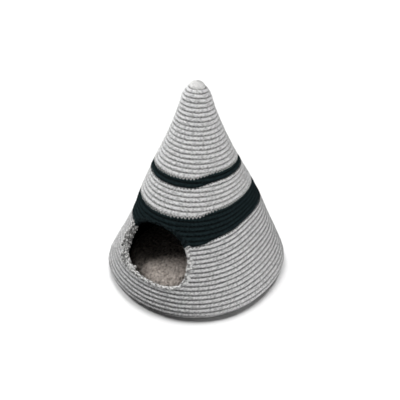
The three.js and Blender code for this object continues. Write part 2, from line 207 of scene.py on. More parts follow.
@dataclass(frozen=True)
class Entrance:
    """The arched entrance, drawn on the wall as if it were laid flat: side to the right, drop downwards.

    Attributes:
        wall: The wall that it is cut through.
        turn: The turn at its widest.
        half_width: Half its width.
        rise: From its widest place up to the crown of the arch.
        drop: From its widest place down to the sill.
        lean: How far the arch leans, as a share of its height.
        sill_tilt: How much lower the sill is at its right end than in the middle.
        squareness: How square the corners of the sill are; 1 is round, less is squarer.
        edge_width: Width of the sewn edge, outwards from the outline.
        edge_face: Lift of the sewn edge's outer face.
        edge_back: Lift of its inner face.
        band_foot: Turn of the wide dark band's lower groove.
        draft_steps: Steps in which the outline is drawn.
        line_steps: Steps of a line beside the outline.
        crossing_steps: Steps of half the way round in which a crossing is looked for.
        batch: Points that are looked at together.
        nudge: Share of the way round over which a direction is measured.
    """

    wall: WallShape
    turn: float = 40.8
    half_width: float = 107 * MM
    rise: float = 103 * MM
    drop: float = 40 * MM
    lean: float = 0.1
    sill_tilt: float = 8 * MM
    squareness: float = 0.62
    edge_width: float = 12 * MM
    edge_face: float = 3.8 * MM
    edge_back: float = -9.3 * MM
    band_foot: float = 35.0
    draft_steps: int = 720
    line_steps: int = 400
    crossing_steps: int = 1000
    batch: int = 4000
    nudge: float = 0.004

    @cached_property
    def _outline(self) -> tuple[np.ndarray, np.ndarray]:
        """Draws the outline.

        Returns:
            Shares of the way round and outline points, clockwise from the crown of the arch.
        """
        angle = np.linspace(0, FULL_TURN, self.draft_steps + 1)
        sine, cosine = np.sin(angle), np.cos(angle)
        arch = cosine > 0
        side = self.half_width * np.where(arch, sine, signed_power(sine, self.squareness))
        sill = self.drop + self.sill_tilt * side / self.half_width
        drop = np.where(arch, -self.rise * cosine, -sill * signed_power(cosine, self.squareness))
        points = np.stack((side - np.where(arch, self.lean * drop, 0), drop), axis=-1)
        steps = np.linalg.norm(np.diff(points, axis=0), axis=1)
        walked = np.concatenate(([0], np.cumsum(steps)))
        return walked / walked[-1], points

    @cached_property
    def length(self) -> float:
        """Length of the outline along the wall."""
        return float(np.linalg.norm(np.diff(self._outline[1], axis=0), axis=1).sum())

    def _flat(self, share: np.ndarray) -> np.ndarray:
        """Outline points.

        Args:
            share: Shares of the way round.

        Returns:
            Points of the flat wall.
        """
        shares, points = self._outline
        share = np.mod(share, 1)
        return np.stack([np.interp(share, shares, points[:, k]) for k in (0, 1)], axis=-1)

    def heading(self, share: np.ndarray) -> np.ndarray:
        """Directions along the outline on the flat wall."""
        return unit(self._flat(share + self.nudge) - self._flat(share - self.nudge))

    def flat_place(self, share: np.ndarray, outwards: np.ndarray) -> np.ndarray:
        """Points beside the outline.

        Args:
            share: Shares of the way round.
            outwards: Distances outwards from the outline.

        Returns:
            Points of the flat wall.
        """
        along = self.heading(share)
        normal = np.stack((along[..., 1], -along[..., 0]), axis=-1)
        return self._flat(share) + normal * np.asarray(outwards)[..., None]

    def on_wall(self, flat: np.ndarray) -> tuple[np.ndarray, np.ndarray]:
        """Turn and azimuth of points of the flat wall."""
        turn = self.turn + flat[..., 1] / self.wall.pitch
        return turn, flat[..., 0] / (self.wall.radius(turn) * self.wall.roundness(turn, np.zeros_like(turn)))

    def point(self, share: np.ndarray, outwards: np.ndarray, lift: np.ndarray) -> np.ndarray:
        """Points of the wall beside the outline, lifted off the groove line."""
        turn, azimuth = self.on_wall(self.flat_place(share, outwards))
        return self.wall.point(turn, azimuth, lift)

    def row_phase(self, share: np.ndarray, outwards: np.ndarray) -> np.ndarray:
        """Where the outline stands in the rope row that it crosses: 0 at a groove, 0.5 at a crest."""
        turn, azimuth = self.on_wall(self.flat_place(share, outwards))
        return np.mod(turn - (azimuth - self.wall.join_azimuth) / FULL_TURN, 1)

    def _flatten(self, turn: np.ndarray, azimuth: np.ndarray) -> np.ndarray:
        """Lays points of the wall flat.

        Args:
            turn: Turns of the points.
            azimuth: Their azimuths.

        Returns:
            Points of the flat wall.
        """
        wrapped = np.mod(azimuth + math.pi, FULL_TURN) - math.pi
        side = wrapped * self.wall.radius(turn) * self.wall.roundness(turn, np.zeros_like(turn))
        return np.stack((side, (turn - self.turn) * self.wall.pitch), axis=-1)

    def snap(self, turn: np.ndarray, azimuth: np.ndarray,
             outwards: float) -> tuple[np.ndarray, np.ndarray, np.ndarray]:
        """Finds what lies inside the outline and brings it out to a line beside it.

        Args:
            turn: Turns of the points, as a flat array.
            azimuth: Their azimuths.
            outwards: How far outside the outline the line runs.

        Returns:
            A mask of the points inside, and the turns and azimuths with those points moved onto the line.
        """
        flat = self._flatten(turn, azimuth)
        shares = np.linspace(0, 1, self.line_steps, endpoint=False)
        line = self.flat_place(shares, np.full(self.line_steps, outwards))
        low, high = line.min(0), line.max(0)
        near = np.nonzero(((flat > low) & (flat < high)).all(axis=1))[0]
        inside = np.zeros(len(flat), bool)
        moved_turn, moved_azimuth = turn.copy(), azimuth.copy()
        ahead = np.roll(line, -1, axis=0)
        for chunk in np.array_split(near, max(1, len(near) // self.batch)):
            side, drop = flat[chunk, 0, None], flat[chunk, 1, None]
            straddles = (line[:, 1] > drop) != (ahead[:, 1] > drop)
            with np.errstate(divide="ignore", invalid="ignore"):
                share = (drop - line[:, 1]) / (ahead[:, 1] - line[:, 1])
            crossing = line[:, 0] + share * (ahead[:, 0] - line[:, 0])
            within = (straddles & (side < crossing)).sum(axis=1) % 2 == 1
            hit = chunk[within]
            nearest = np.linalg.norm(flat[hit][:, None, :] - line, axis=-1).argmin(axis=1)
            inside[hit] = True
            moved_turn[hit], moved_azimuth[hit] = self.on_wall(line[nearest])
        return inside, moved_turn, moved_azimuth

    def crossing(self, direction: int) -> float:
        """Finds where the wide dark band's lower groove crosses the sewn edge.

        Args:
            direction: 1 goes clockwise from the crown of the arch, -1 the other way.

        Returns:
            The share of the way round.
        """
        shares = direction * np.arange(self.crossing_steps) / (2 * self.crossing_steps)
        turn, azimuth = self.on_wall(self.flat_place(shares, np.full_like(shares, self.edge_width / 2)))
        below = turn > self.band_foot + (azimuth - self.wall.join_azimuth) / FULL_TURN
        return float(shares[np.argmax(below)])


@dataclass(frozen=True)
class Unevenness:
    """Slow, seeded ups and downs along a hand-sewn length.

    Attributes:
        seed: Makes each length its own.
        shortest: Shortest wave, in metres.
        longest: Longest wave.
        waves: How many waves are added.
    """

    seed: int
    shortest: float = 18 * MM
    longest: float = 160 * MM
    waves: int = 8

    def along(self, length: np.ndarray) -> np.ndarray:
        """The ups and downs.

        Args:
            length: Places along the length, in metres.

        Returns:
            Values of about -1 to 1.
        """
        draw = np.random.default_rng(self.seed)
        sizes = np.exp(draw.uniform(math.log(self.shortest), math.log(self.longest), self.waves))
        phases = draw.uniform(0, FULL_TURN, self.waves)
        total = sum(np.sin(FULL_TURN * length / size + phase) for size, phase in zip(sizes, phases))
        return total / math.sqrt(self.waves)


@dataclass(frozen=True)
class Lumps:
    """Rounded lumps strewn over the skin of a roll that closes on itself.

    Attributes:
        seed: Makes the lumps their own.
        length: Length of the roll.
        girth: Distance round it.
        count: How many lumps.
        radius: Smallest and largest radius of a lump.
    """

    seed: int
    length: float
    girth: float
    count: int
    radius: Span

    def height(self, along: np.ndarray, angle: np.ndarray) -> np.ndarray:
        """How far the skin is raised.

        Args:
            along: Places along the roll, in metres.
            angle: Angles round it.

        Returns:
            Values from 0 in a hollow to 1 on top of a lump.
        """
        draw = np.random.default_rng(self.seed)
        places = draw.uniform(0, self.length, self.count)
        turns = draw.uniform(0, 1, self.count)
        sizes = draw.uniform(*self.radius, self.count)
        raised = np.zeros(along.shape)
        for place, turn, size in zip(places, turns, sizes):
            apart = np.mod(along - place + self.length / 2, self.length) - self.length / 2
            across = (np.mod(angle / FULL_TURN - turn + 0.5, 1) - 0.5) * self.girth
            near = 1 - (apart**2 + across**2) / size**2
            raised = np.maximum(raised, np.sqrt(np.clip(near, 0, None)))
        return raised


# Mesh making


class Bench:
    """Adds primitives and works on them with Blender's own operators."""

    COPY_STEP = 2.0  # from one copy in a row to the next
    THREAD_SIDES = 4

    @staticmethod
    def clear_selection() -> None:
        """Leaves edit mode and deselects everything."""
        if bpy.context.object and bpy.context.object.mode != "OBJECT":
            bpy.ops.object.mode_set(mode="OBJECT")
        bpy.ops.object.select_all(action="DESELECT")

    @staticmethod
    def pick(piece: bpy.types.Object) -> None:
        """Makes one piece the only selected and active one.

        Args:
            piece: The piece.
        """
        Bench.clear_selection()
        piece.select_set(True)
        bpy.context.view_layer.objects.active = piece

    @staticmethod
    def named(name: str) -> bpy.types.Object:
        """Names the object that was just added, and its data.

        Args:
            name: The name.

        Returns:
            The object.
        """
        made = bpy.context.object
        made.name = made.data.name = name
        return made

    @staticmethod
    def modify(piece: bpy.types.Object, kind: str, **settings: object) -> None:
        """Adds a modifier with its settings and applies it.

        Args:
            piece: The piece.
            kind: The modifier's type.
            settings: Its properties.
        """
        Bench.pick(piece)
        bpy.ops.object.modifier_add(type=kind)
        made = piece.modifiers[-1]
        for key, value in settings.items():
            setattr(made, key, value)
        bpy.ops.object.modifier_apply(modifier=made.name)

    @staticmethod
    def mend(piece: bpy.types.Object, join: float = 0.0, close: bool = False) -> None:
        """Joins doubled points, closes open ends and turns the faces outwards.

        Args:
            piece: The piece.
            join: Points nearer than this are joined; 0 joins none.
            close: Whether open ends are closed.
        """
        Bench.pick(piece)
        bpy.ops.object.mode_set(mode="EDIT")
        bpy.ops.mesh.select_all(action="SELECT")
        if join:
            bpy.ops.mesh.remove_doubles(threshold=join)
        if close:
            bpy.ops.mesh.select_all(action="SELECT")
            bpy.ops.mesh.fill_holes(sides=0)
            bpy.ops.mesh.select_all(action="SELECT")
        bpy.ops.mesh.normals_make_consistent(inside=False)
        bpy.ops.object.mode_set(mode="OBJECT")

    @staticmethod
    def coords(piece: bpy.types.Object) -> np.ndarray:
        """Vertex places of a piece.

        Args:
            piece: The piece.

        Returns:
            Points (n, 3).
        """
        flat = np.empty(len(piece.data.vertices) * 3, np.float32)
        piece.data.vertices.foreach_get("co", flat)
        return flat.reshape(-1, 3).astype(float)

    @staticmethod
    def place(piece: bpy.types.Object, points: np.ndarray) -> None:
        """Moves the vertices of a piece."""
        piece.data.vertices.foreach_set("co", np.ascontiguousarray(points, np.float32).ravel())
        piece.data.update()

    @staticmethod
    def mark(piece: bpy.types.Object, raised: np.ndarray) -> None:
        """Notes the height of the lumpy skin at every vertex, which the edge finish paints as shade and
        light.
        """
        skin = piece.data.attributes.new(RAISED, "FLOAT", "POINT")
        skin.data.foreach_set("value", np.ascontiguousarray(raised, np.float32).ravel())

    @staticmethod
    def triangles(piece: bpy.types.Object) -> int:
        """How many triangles a piece has."""
        return sum(len(face.vertices) - 2 for face in piece.data.polygons)

    @staticmethod
    def tube(name: str, rings: np.ndarray, hidden: np.ndarray | None = None,
             raised: np.ndarray | None = None) -> bpy.types.Object:
        """A closed tube through rings of points, rolled from a grid.

        Args:
            name: Name of the piece.
            rings: Points as (rings, around, 3).
            hidden: Optional mask (rings, around) of points whose faces are cut away.
            raised: Optional values (rings, around) that the finish reads as painted shade and light, 0 in a
                hollow and 1 on a lump.

        Returns:
            The tube, with a UV map in metres: along the tube, and round it.
        """
        count, around = rings.shape[:2]
        Bench.clear_selection()
        bpy.ops.mesh.primitive_grid_add(x_subdivisions=count - 1, y_subdivisions=around, size=1)
        piece = Bench.named(name)
        flat = Bench.coords(piece)
        along = np.rint((flat[:, 0] + 0.5) * (count - 1)).astype(int)
        across = np.rint((flat[:, 1] + 0.5) * around).astype(int) % around
        Bench.place(piece, rings[along, across])

        if raised is not None:
            Bench.mark(piece, raised[along, across])

        middle = rings.mean(axis=1)
        length = np.linalg.norm(np.diff(middle, axis=0), axis=1).sum()
        half_way = rings[count // 2]
        girth = np.linalg.norm(np.diff(half_way, axis=0, append=half_way[:1]), axis=1).sum()
        uv = np.empty(len(piece.data.loops) * 2, np.float32)
        piece.data.uv_layers[0].data.foreach_get("uv", uv)
        uv = uv.reshape(-1, 2) * (length, girth)
        piece.data.uv_layers[0].data.foreach_set("uv", np.ascontiguousarray(uv, np.float32).ravel())

        if hidden is not None:
            Bench.cut_faces(piece, hidden[along, across])
        Bench.mend(piece, join=1e-7, close=True)
        bpy.ops.object.shade_smooth()
        return piece

    @staticmethod
    def cut_faces(piece: bpy.types.Object, hidden: np.ndarray) -> None:
        """Deletes the faces of a grid whose corners are all hidden.

        Args:
            piece: The grid.
            hidden: A mask of its vertices.
        """
        corners = np.empty(len(piece.data.loops), np.int32)
        piece.data.loops.foreach_get("vertex_index", corners)
        gone = hidden[corners].reshape(-1, 4).all(axis=1)
        bpy.context.tool_settings.mesh_select_mode = (False, False, True)
        bpy.ops.object.mode_set(mode="EDIT")
        bpy.ops.mesh.select_all(action="DESELECT")
        bpy.ops.object.mode_set(mode="OBJECT")
        piece.data.polygons.foreach_set("select", gone)
        bpy.ops.object.mode_set(mode="EDIT")
        bpy.ops.mesh.delete(type="FACE")
        bpy.ops.object.mode_set(mode="OBJECT")
        bpy.context.tool_settings.mesh_select_mode = (True, False, False)

    @staticmethod
    def copies(name: str, sides: int, count: int, tip: float) -> bpy.types.Object:
        """Many copies of one small prism or spike in one mesh, ready to be put in place.

        Args:
            name: Name of the piece.
            sides: Sides of the prism.
            count: How many copies.
            tip: Width of its far end as a share of its near end; 0 is a point.

        Returns:
            The piece, its vertices copy after copy.
        """
        Bench.clear_selection()
        bpy.ops.mesh.primitive_cone_add(vertices=sides, radius1=0.5, radius2=0.5 * tip, depth=1)
        piece = Bench.named(name)
        bpy.ops.object.shade_smooth()
        Bench.modify(
            piece, "ARRAY", count=count, use_relative_offset=False, use_constant_offset=True,
            constant_offset_displace=(Bench.COPY_STEP, 0, 0),
        )
        return piece

    @staticmethod
    def prisms(name: str, starts: np.ndarray, ends: np.ndarray, normals: np.ndarray, radius: np.ndarray,
               sides: int = THREAD_SIDES, tip: float = 1.0, raised: Span | None = None) -> bpy.types.Object:
        """Short straight threads or spikes from point to point, as one mesh.

        Args:
            name: Name of the piece.
            starts: Points (n, 3) where they start.
            ends: Points (n, 3) where they end.
            normals: Directions (n, 3) that point away from what carries them.
            radius: Radius (n,) of each.
            sides: Sides of each.
            tip: Width of its far end as a share of its near end.
            raised: Levels at its near and far end that its finish reads as painted shade and light, where its
                finish needs it.

        Returns:
            The piece.
        """
        piece = Bench.copies(name, sides, len(starts), tip)
        local = Bench.coords(piece).reshape(len(starts), -1, 3)
        local[:, :, 0] -= Bench.COPY_STEP * np.arange(len(starts))[:, None]
        along = ends - starts
        side = unit(np.cross(normals, unit(along)))
        out = np.cross(unit(along), side)
        middle = (starts + ends) / 2
        points = (
            middle[:, None]
            + local[:, :, 2:] * along[:, None]
            + 2 * radius[:, None, None] * (local[:, :, :1] * side[:, None] + local[:, :, 1:2] * out[:, None])
        )
        Bench.place(piece, points.reshape(-1, 3))
        Bench.mend(piece)
        if raised:
            Bench.mark(piece, raised[0] + (raised[1] - raised[0]) * (local[:, :, 2] + 0.5))
        return piece

    @staticmethod
    def sweep(name: str, path: np.ndarray, normals: np.ndarray, radius: float) -> bpy.types.Object:
        """A round thread along a path.

        Args:
            name: Name of the piece.
            path: Points (n, 3).
            normals: Directions (n, 3) across the path.
            radius: The thread's radius.

        Returns:
            The piece.
        """
        along = unit(np.gradient(path, axis=0))
        side = unit(np.cross(along, normals))
        out = np.cross(side, along)
        angle = FULL_TURN * np.arange(Bench.THREAD_SIDES) / Bench.THREAD_SIDES
        rings = path[:, None] + radius * (
            np.cos(angle)[None, :, None] * side[:, None] + np.sin(angle)[None, :, None] * out[:, None]
        )
        return Bench.tube(name, rings)

    @staticmethod
    def finish(piece: bpy.types.Object, material: bpy.types.Material, slot: str,
               *nodes: str) -> bpy.types.Object:
        """Gives a piece its material and body, and hides the solids that it stands for.

        Args:
            piece: The finished piece.
            material: Its material.
            slot: Not used.
            nodes: Solids that it replaces.

        Returns:
            The piece.
        """
        piece.data.materials.clear()
        piece.data.materials.append(material)
        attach(piece, BODY)
        if nodes:
            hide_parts(*nodes)
        log.info("%s: %d triangles", piece.name, Bench.triangles(piece))
        return piece


# Finishes


class NodeSheet:
    """A new node material and short ways to add to it."""

    def __init__(self, name: str) -> None:
        """Starts a material with an empty Principled shader.

        Args:
            name: Name of the material.
        """
        self.material = bpy.data.materials.new(name)
        self.material.use_nodes = True
        self.tree = self.material.node_tree
        self.shader = self.tree.nodes["Principled BSDF"]

    def node(self, kind: str, **values: object) -> bpy.types.Node:
        """Adds a node; values name its properties, or its inputs where no property has that name.

        Args:
            kind: The node's type.
            values: Settings, with _ for a space in an input's name.

        Returns:
            The node.
        """
        made = self.tree.nodes.new(kind)
        for key, value in values.items():
            if hasattr(made, key):
                setattr(made, key, value)
            else:
                made.inputs[key.replace("_", " ")].default_value = value
        return made

    def coords(self) -> bpy.types.NodeSocket:
        """Places on the object, in metres."""
        return self.node("ShaderNodeTexCoord").outputs["Object"]

    def colour(self, colour: bpy.types.NodeSocket) -> None:
        """Gives the shader its colour."""
        self.link(colour, self.shader.inputs["Base Color"])

    def link(self, source: bpy.types.NodeSocket, target: bpy.types.NodeSocket) -> None:
        """Joins two sockets."""
        self.tree.links.new(source, target)

    def math(self, operation: str, first: object, second: object = 0.0) -> bpy.types.NodeSocket:
        """A Math node on two sockets or numbers.

        Args:
            operation: What it does.
            first: Socket or number.
            second: Socket or number.

        Returns:
            Its result.
        """
        made = self.node("ShaderNodeMath", operation=operation)
        for index, value in enumerate((first, second)):
            if isinstance(value, bpy.types.NodeSocket):
                self.link(value, made.inputs[index])
            else:
                made.inputs[index].default_value = value
        return made.outputs[0]

    def noise(self, vector: bpy.types.NodeSocket, scale: float, detail: float) -> bpy.types.NodeSocket:
        """A noise pattern.

        Args:
            vector: Coordinates in metres.
            scale: How fine it is: patches in a metre.
            detail: How many finer patterns are added to it.

        Returns:
            Values from 0 to 1.
        """
        made = self.node("ShaderNodeTexNoise", Scale=scale, Detail=detail)
        self.link(vector, made.inputs["Vector"])
        return made.outputs[0]

    def ramp(self, value: bpy.types.NodeSocket, *stops: tuple[float, Rgb]) -> bpy.types.NodeSocket:
        """Turns a value into a colour.

        Args:
            value: The value.
            stops: Places from 0 to 1, each with its colour.

        Returns:
            The colour.
        """
        made = self.node("ShaderNodeValToRGB")
        band = made.color_ramp.elements
        while len(band) < len(stops):
            band.new(0.5)
        for element, (place, colour) in zip(band, stops):
            element.position, element.color = place, (*colour, 1)
        self.link(value, made.inputs[0])
        return made.outputs[0]

    def mix(self, factor: object, first: object, second: object, blend: str = "MIX") -> bpy.types.NodeSocket:
        """Mixes two colours.

        Args:
            factor: Socket or number.
            first: Socket or colour.
            second: Socket or colour.
            blend: How they mix.

        Returns:
            The mixed colour.
        """
        made = self.node("ShaderNodeMix", data_type="RGBA", blend_type=blend)
        for name, value in (("Factor_Float", factor), ("A_Color", first), ("B_Color", second)):
            socket = next(s for s in made.inputs if s.identifier == name)
            if isinstance(value, bpy.types.NodeSocket):
                self.link(value, socket)
            else:
                socket.default_value = (*value, 1) if isinstance(value, tuple) else value
        return next(s for s in made.outputs if s.identifier == "Result_Color")

    def bump(self, height: bpy.types.NodeSocket, distance: float, strength: float) -> None:
        """Gives the shader a relief.

        Args:
            height: Its height.
            distance: The height that 1 stands for.
            strength: Its strength.
        """
        made = self.node("ShaderNodeBump", Distance=distance, Strength=strength)
        self.link(height, made.inputs["Height"])
        self.link(made.outputs[0], self.shader.inputs["Normal"])

    def surface(self, roughness: float, gloss: float, sheen: float, sheen_tint: Rgb) -> None:
        """Sets the shader's plain values for cloth.

        Args:
            roughness: How rough it is.
            gloss: Strength of its shine.
            sheen: Strength of its soft edge light.
            sheen_tint: Colour of that light.
        """
        values = {
            "Roughness": roughness,
            "Specular IOR Level": gloss,
            "Sheen Weight": sheen,
            "Sheen Roughness": 0.5,
            "Sheen Tint": (*sheen_tint, 1),
        }
        for name, value in values.items():
            self.shader.inputs[name].default_value = value


@dataclass(frozen=True)
class RopeFinish:
    """Braided cotton rope: a diamond braid that follows the rope, flecked with lighter and darker fibres.

    Painted shade darkens the rope's sides, where the turns press together, and its whole inner half.

    Attributes:
        name: Name of the material.
        pale: Colour of the strands' crowns, painted light there, and of the palest flecks.
        middle: Main colour.
        deep: Colour between the strands, painted shade there, and of the deepest flecks.
        warm: Colour that the rope drifts towards in places.
        sheen: Strength of the cotton's soft edge light.
        gloss: Strength of its shine.
        roughness: How rough it is.
        braid: Depth of the braid's relief.
        braid_strength: Strength of that relief.
        fuzz: Height of the fibres, as a share of the braid's.
        strand_step: Length of one diamond of the braid.
        strands_round: Strands round the rope.
        strand_fullness: 1 is a round strand, less is a fuller one.
        girth: Distance round the rope.
        between: Share of the deep colour painted as shade between the strands.
        crown: Share of the pale colour painted as light on their crowns.
        painted_side_shade: Share of the colour that is left under the painted shade at the rope's sides and
            inner half.
        side: Where the painted shade is deepest and where it ends, as the sine of the angle up to the crest.
        shade_wander: How much the edge of the painted shade wanders.
        fleck: Size of the lighter and darker flecks.
        fleck_stops: Pattern values of a deep, a middle and a pale fleck.
        fibre_scale: Fibres in a metre.
        fibre_stretch: Their scale along the rope; less is longer.
        warm_scale: Warmer places in a metre.
        warmth: Share of the warm colour where it is strongest.
    """

    name: str
    pale: Rgb
    middle: Rgb
    deep: Rgb
    warm: Rgb
    sheen: float
    gloss: float = 0.2
    roughness: float = 0.95
    braid: float = 0.8 * MM
    braid_strength: float = 0.9
    fuzz: float = 0.5
    strand_step: float = 7.4 * MM
    strands_round: int = 8
    strand_fullness: float = 0.6
    girth: float = 37.9 * MM
    between: float = 0.5
    crown: float = 0.35
    painted_side_shade: float = 0.17
    side: Span = (0.38, 0.88)
    shade_wander: float = 0.42
    fleck: float = 6 * MM
    fleck_stops: tuple[float, ...] = (0.36, 0.48, 0.60)
    fibre_scale: float = 1500
    fibre_stretch: float = 0.45
    warm_scale: float = 9
    warmth: float = 0.5

    def material(self) -> bpy.types.Material:
        """Builds the node material.

        Returns:
            The material.
        """
        sheet = NodeSheet(self.name)
        uv = sheet.node("ShaderNodeUVMap").outputs[0]
        parts = sheet.node("ShaderNodeSeparateXYZ")
        sheet.link(uv, parts.inputs[0])
        along = sheet.math("MULTIPLY", parts.outputs[0], math.pi / self.strand_step)
        round_rope = sheet.math("MULTIPLY", parts.outputs[1], math.pi * self.strands_round / self.girth)
        rising = sheet.math("SINE", sheet.math("ADD", along, round_rope))
        falling = sheet.math("SINE", sheet.math("SUBTRACT", along, round_rope))
        diamonds = sheet.math("ABSOLUTE", sheet.math("MULTIPLY", rising, falling))
        pillow = sheet.math("POWER", diamonds, self.strand_fullness)

        stretched = sheet.node("ShaderNodeMapping", Scale=(self.fibre_stretch, 1.0, 1.0))
        sheet.link(uv, stretched.inputs["Vector"])
        fibres = sheet.noise(stretched.outputs[0], self.fibre_scale, 3)
        flecks = sheet.noise(uv, 1 / self.fleck, 2)
        drift = sheet.noise(sheet.coords(), self.warm_scale, 1)

        colour = sheet.ramp(flecks, *zip(self.fleck_stops, (self.deep, self.middle, self.pale)))
        # painted shade between the braid's strands and painted light on their crowns
        between = sheet.mix(self.between, colour, self.deep)
        crowned = sheet.mix(pillow, between, sheet.mix(self.crown, colour, self.pale))
        warmed = sheet.mix(sheet.math("MULTIPLY", drift, self.warmth), crowned, self.warm, "MULTIPLY")
        # painted shade on the rope's sides, where the turns press together, and over its whole inner half
        crest = sheet.math("SINE", sheet.math("MULTIPLY", parts.outputs[1], FULL_TURN / self.girth))
        wander = sheet.math("SUBTRACT", sheet.noise(uv, 1 / self.fleck, 1), 0.5)
        clear_of_shade = sheet.math("ADD", crest, sheet.math("MULTIPLY", wander, self.shade_wander))
        shade = sheet.ramp(clear_of_shade, *zip(self.side, ((self.painted_side_shade,) * 3, (1.0,) * 3)))
        sheet.colour(sheet.mix(1.0, warmed, shade, "MULTIPLY"))
        relief = sheet.math("ADD", pillow, sheet.math("MULTIPLY", fibres, self.fuzz))
        sheet.bump(relief, self.braid, self.braid_strength)
        sheet.surface(self.roughness, self.gloss, self.sheen, self.pale)
        return sheet.material


@dataclass(frozen=True)
class ThreadFinish:
    """Twisted sewing thread, with painted shade where its twist's relief is low.

    Attributes:
        name: Name of the material.
        pale: Lit colour of the thread.
        deep: Painted shade where the twist's relief is low.
        gloss: Strength of its shine.
        roughness: How rough it is.
        sheen: Strength of its soft edge light.
        twist_scale: Twists in a metre.
        twist_stops: Pattern values of the deep and the pale colour.
        relief: Depth of the twist.
        relief_strength: Strength of that relief.
    """

    name: str
    pale: Rgb
    deep: Rgb
    gloss: float = 0.2
    roughness: float = 0.8
    sheen: float = 0.15
    twist_scale: float = 1400
    twist_stops: Span = (0.35, 0.6)
    relief: float = 0.2 * MM
    relief_strength: float = 0.6

    def material(self) -> bpy.types.Material:
        """Builds the node material.

        Returns:
            The material.
        """
        sheet = NodeSheet(self.name)
        twist = sheet.noise(sheet.coords(), self.twist_scale, 2)
        # one pattern gives both colour and relief, so the deep colour is painted shade in the twist's low
        # places
        sheet.colour(sheet.ramp(twist, *zip(self.twist_stops, (self.deep, self.pale))))
        sheet.bump(twist, self.relief, self.relief_strength)
        sheet.surface(self.roughness, self.gloss, self.sheen, self.pale)
        return sheet.material


@dataclass(frozen=True)
class EdgeFinish:
    """Rope ends bound over with thread, with painted light on the lumps and painted shade in the hollows
    between them.

    Attributes:
        name: Name of the material.
        pale: Colour of the lumps, painted light.
        deep: Colour of the hollows, painted shade.
        gloss: Strength of its shine.
        roughness: How rough it is.
        sheen: Strength of its soft edge light.
        skin_share: How much the height of the skin counts in the painted light and shade.
        fleck_share: How much the flecks count.
        fleck_scale: Flecks in a metre.
        stops: Levels of the deep, the middle and the pale colour.
        fibre_scale: Fibres in a metre.
        relief: Height of the fibres.
        relief_strength: Strength of that relief.
    """

    name: str
    pale: Rgb
    deep: Rgb
    gloss: float = 0.2
    roughness: float = 0.9
    sheen: float = 0.05
    skin_share: float = 0.75
    fleck_share: float = 0.5
    fleck_scale: float = 260
    stops: tuple[float, ...] = (0.42, 0.70, 0.98)
    fibre_scale: float = 900
    relief: float = 0.6 * MM
    relief_strength: float = 0.7

    def material(self) -> bpy.types.Material:
        """Builds the node material.

        Returns:
            The material.
        """
        sheet = NodeSheet(self.name)
        coords = sheet.coords()
        skin = sheet.node("ShaderNodeAttribute", attribute_name=RAISED).outputs["Fac"]
        fibres = sheet.noise(coords, self.fibre_scale, 3)
        flecks = sheet.math("MULTIPLY", sheet.noise(coords, self.fleck_scale, 2), self.fleck_share)
        # painted shade in the hollows and painted light on the lumps, from the skin's height, with random
        # flecks
        level = sheet.math("ADD", sheet.math("MULTIPLY", skin, self.skin_share), flecks)
        middle = tuple((p + d) / 2 for p, d in zip(self.pale, self.deep))
        sheet.colour(sheet.ramp(level, *zip(self.stops, (self.deep, middle, self.pale))))
        sheet.bump(fibres, self.relief, self.relief_strength)
        sheet.surface(self.roughness, self.gloss, self.sheen, self.pale)
        return sheet.material


@dataclass(frozen=True)
class FleeceFinish:
    """Short nubbed fleece, mottled, with painted shade in the hollows between its nubs.

    Attributes:
        name: Name of the material.
        pale: Colour of the nubs.
        middle: Main colour.
        deep: Deep mottle colour, also painted as shade between the nubs.
        nub: Size of a nub.
        gloss: Strength of its shine.
        roughness: How rough it is.
        sheen: Strength of its soft edge light.
        mottle_scale: Darker and lighter patches in a metre.
        mottle_stops: Pattern values of the deep, the middle and the pale colour.
        hollow: Share of the deep colour painted as shade between the nubs.
        wear_scale: Worn places in a metre.
        wear: Share of the main colour where it is most worn.
        fibre_scale: Fibres in a metre.
        fuzz: Height of the fibres, as a share of a nub's.
        relief: Height of a nub's relief.
        relief_strength: Strength of that relief.
    """

    name: str
    pale: Rgb
    middle: Rgb
    deep: Rgb
    nub: float = 7 * MM
    gloss: float = 0.2
    roughness: float = 1.0
    sheen: float = 0.35
    mottle_scale: float = 150
    mottle_stops: tuple[float, ...] = (0.36, 0.5, 0.64)
    hollow: float = 0.55
    wear_scale: float = 14
    wear: float = 0.5
    fibre_scale: float = 900
    fuzz: float = 0.8
    relief: float = 1.2 * MM
    relief_strength: float = 0.8

    def material(self) -> bpy.types.Material:
        """Builds the node material.

        Returns:
            The material.
        """
        sheet = NodeSheet(self.name)
        coords = sheet.coords()
        cells = sheet.node("ShaderNodeTexVoronoi", Scale=1 / self.nub)
        sheet.link(coords, cells.inputs["Vector"])
        hollow = cells.outputs["Distance"]
        mottle = sheet.noise(coords, self.mottle_scale, 3)
        colour = sheet.ramp(mottle, *zip(self.mottle_stops, (self.deep, self.middle, self.pale)))
        # painted shade in the hollows between the nubs
        shaded = sheet.mix(sheet.math("MULTIPLY", hollow, self.hollow), colour, self.deep)
        wear_and_shade = sheet.math("MULTIPLY", sheet.noise(coords, self.wear_scale, 2), self.wear)
        sheet.colour(sheet.mix(wear_and_shade, shaded, self.middle))
        fibres = sheet.math("MULTIPLY", sheet.noise(coords, self.fibre_scale, 4), self.fuzz)
        sheet.bump(sheet.math("SUBTRACT", fibres, hollow), self.relief, self.relief_strength)
        sheet.surface(self.roughness, self.gloss, self.sheen, self.pale)
        return sheet.material


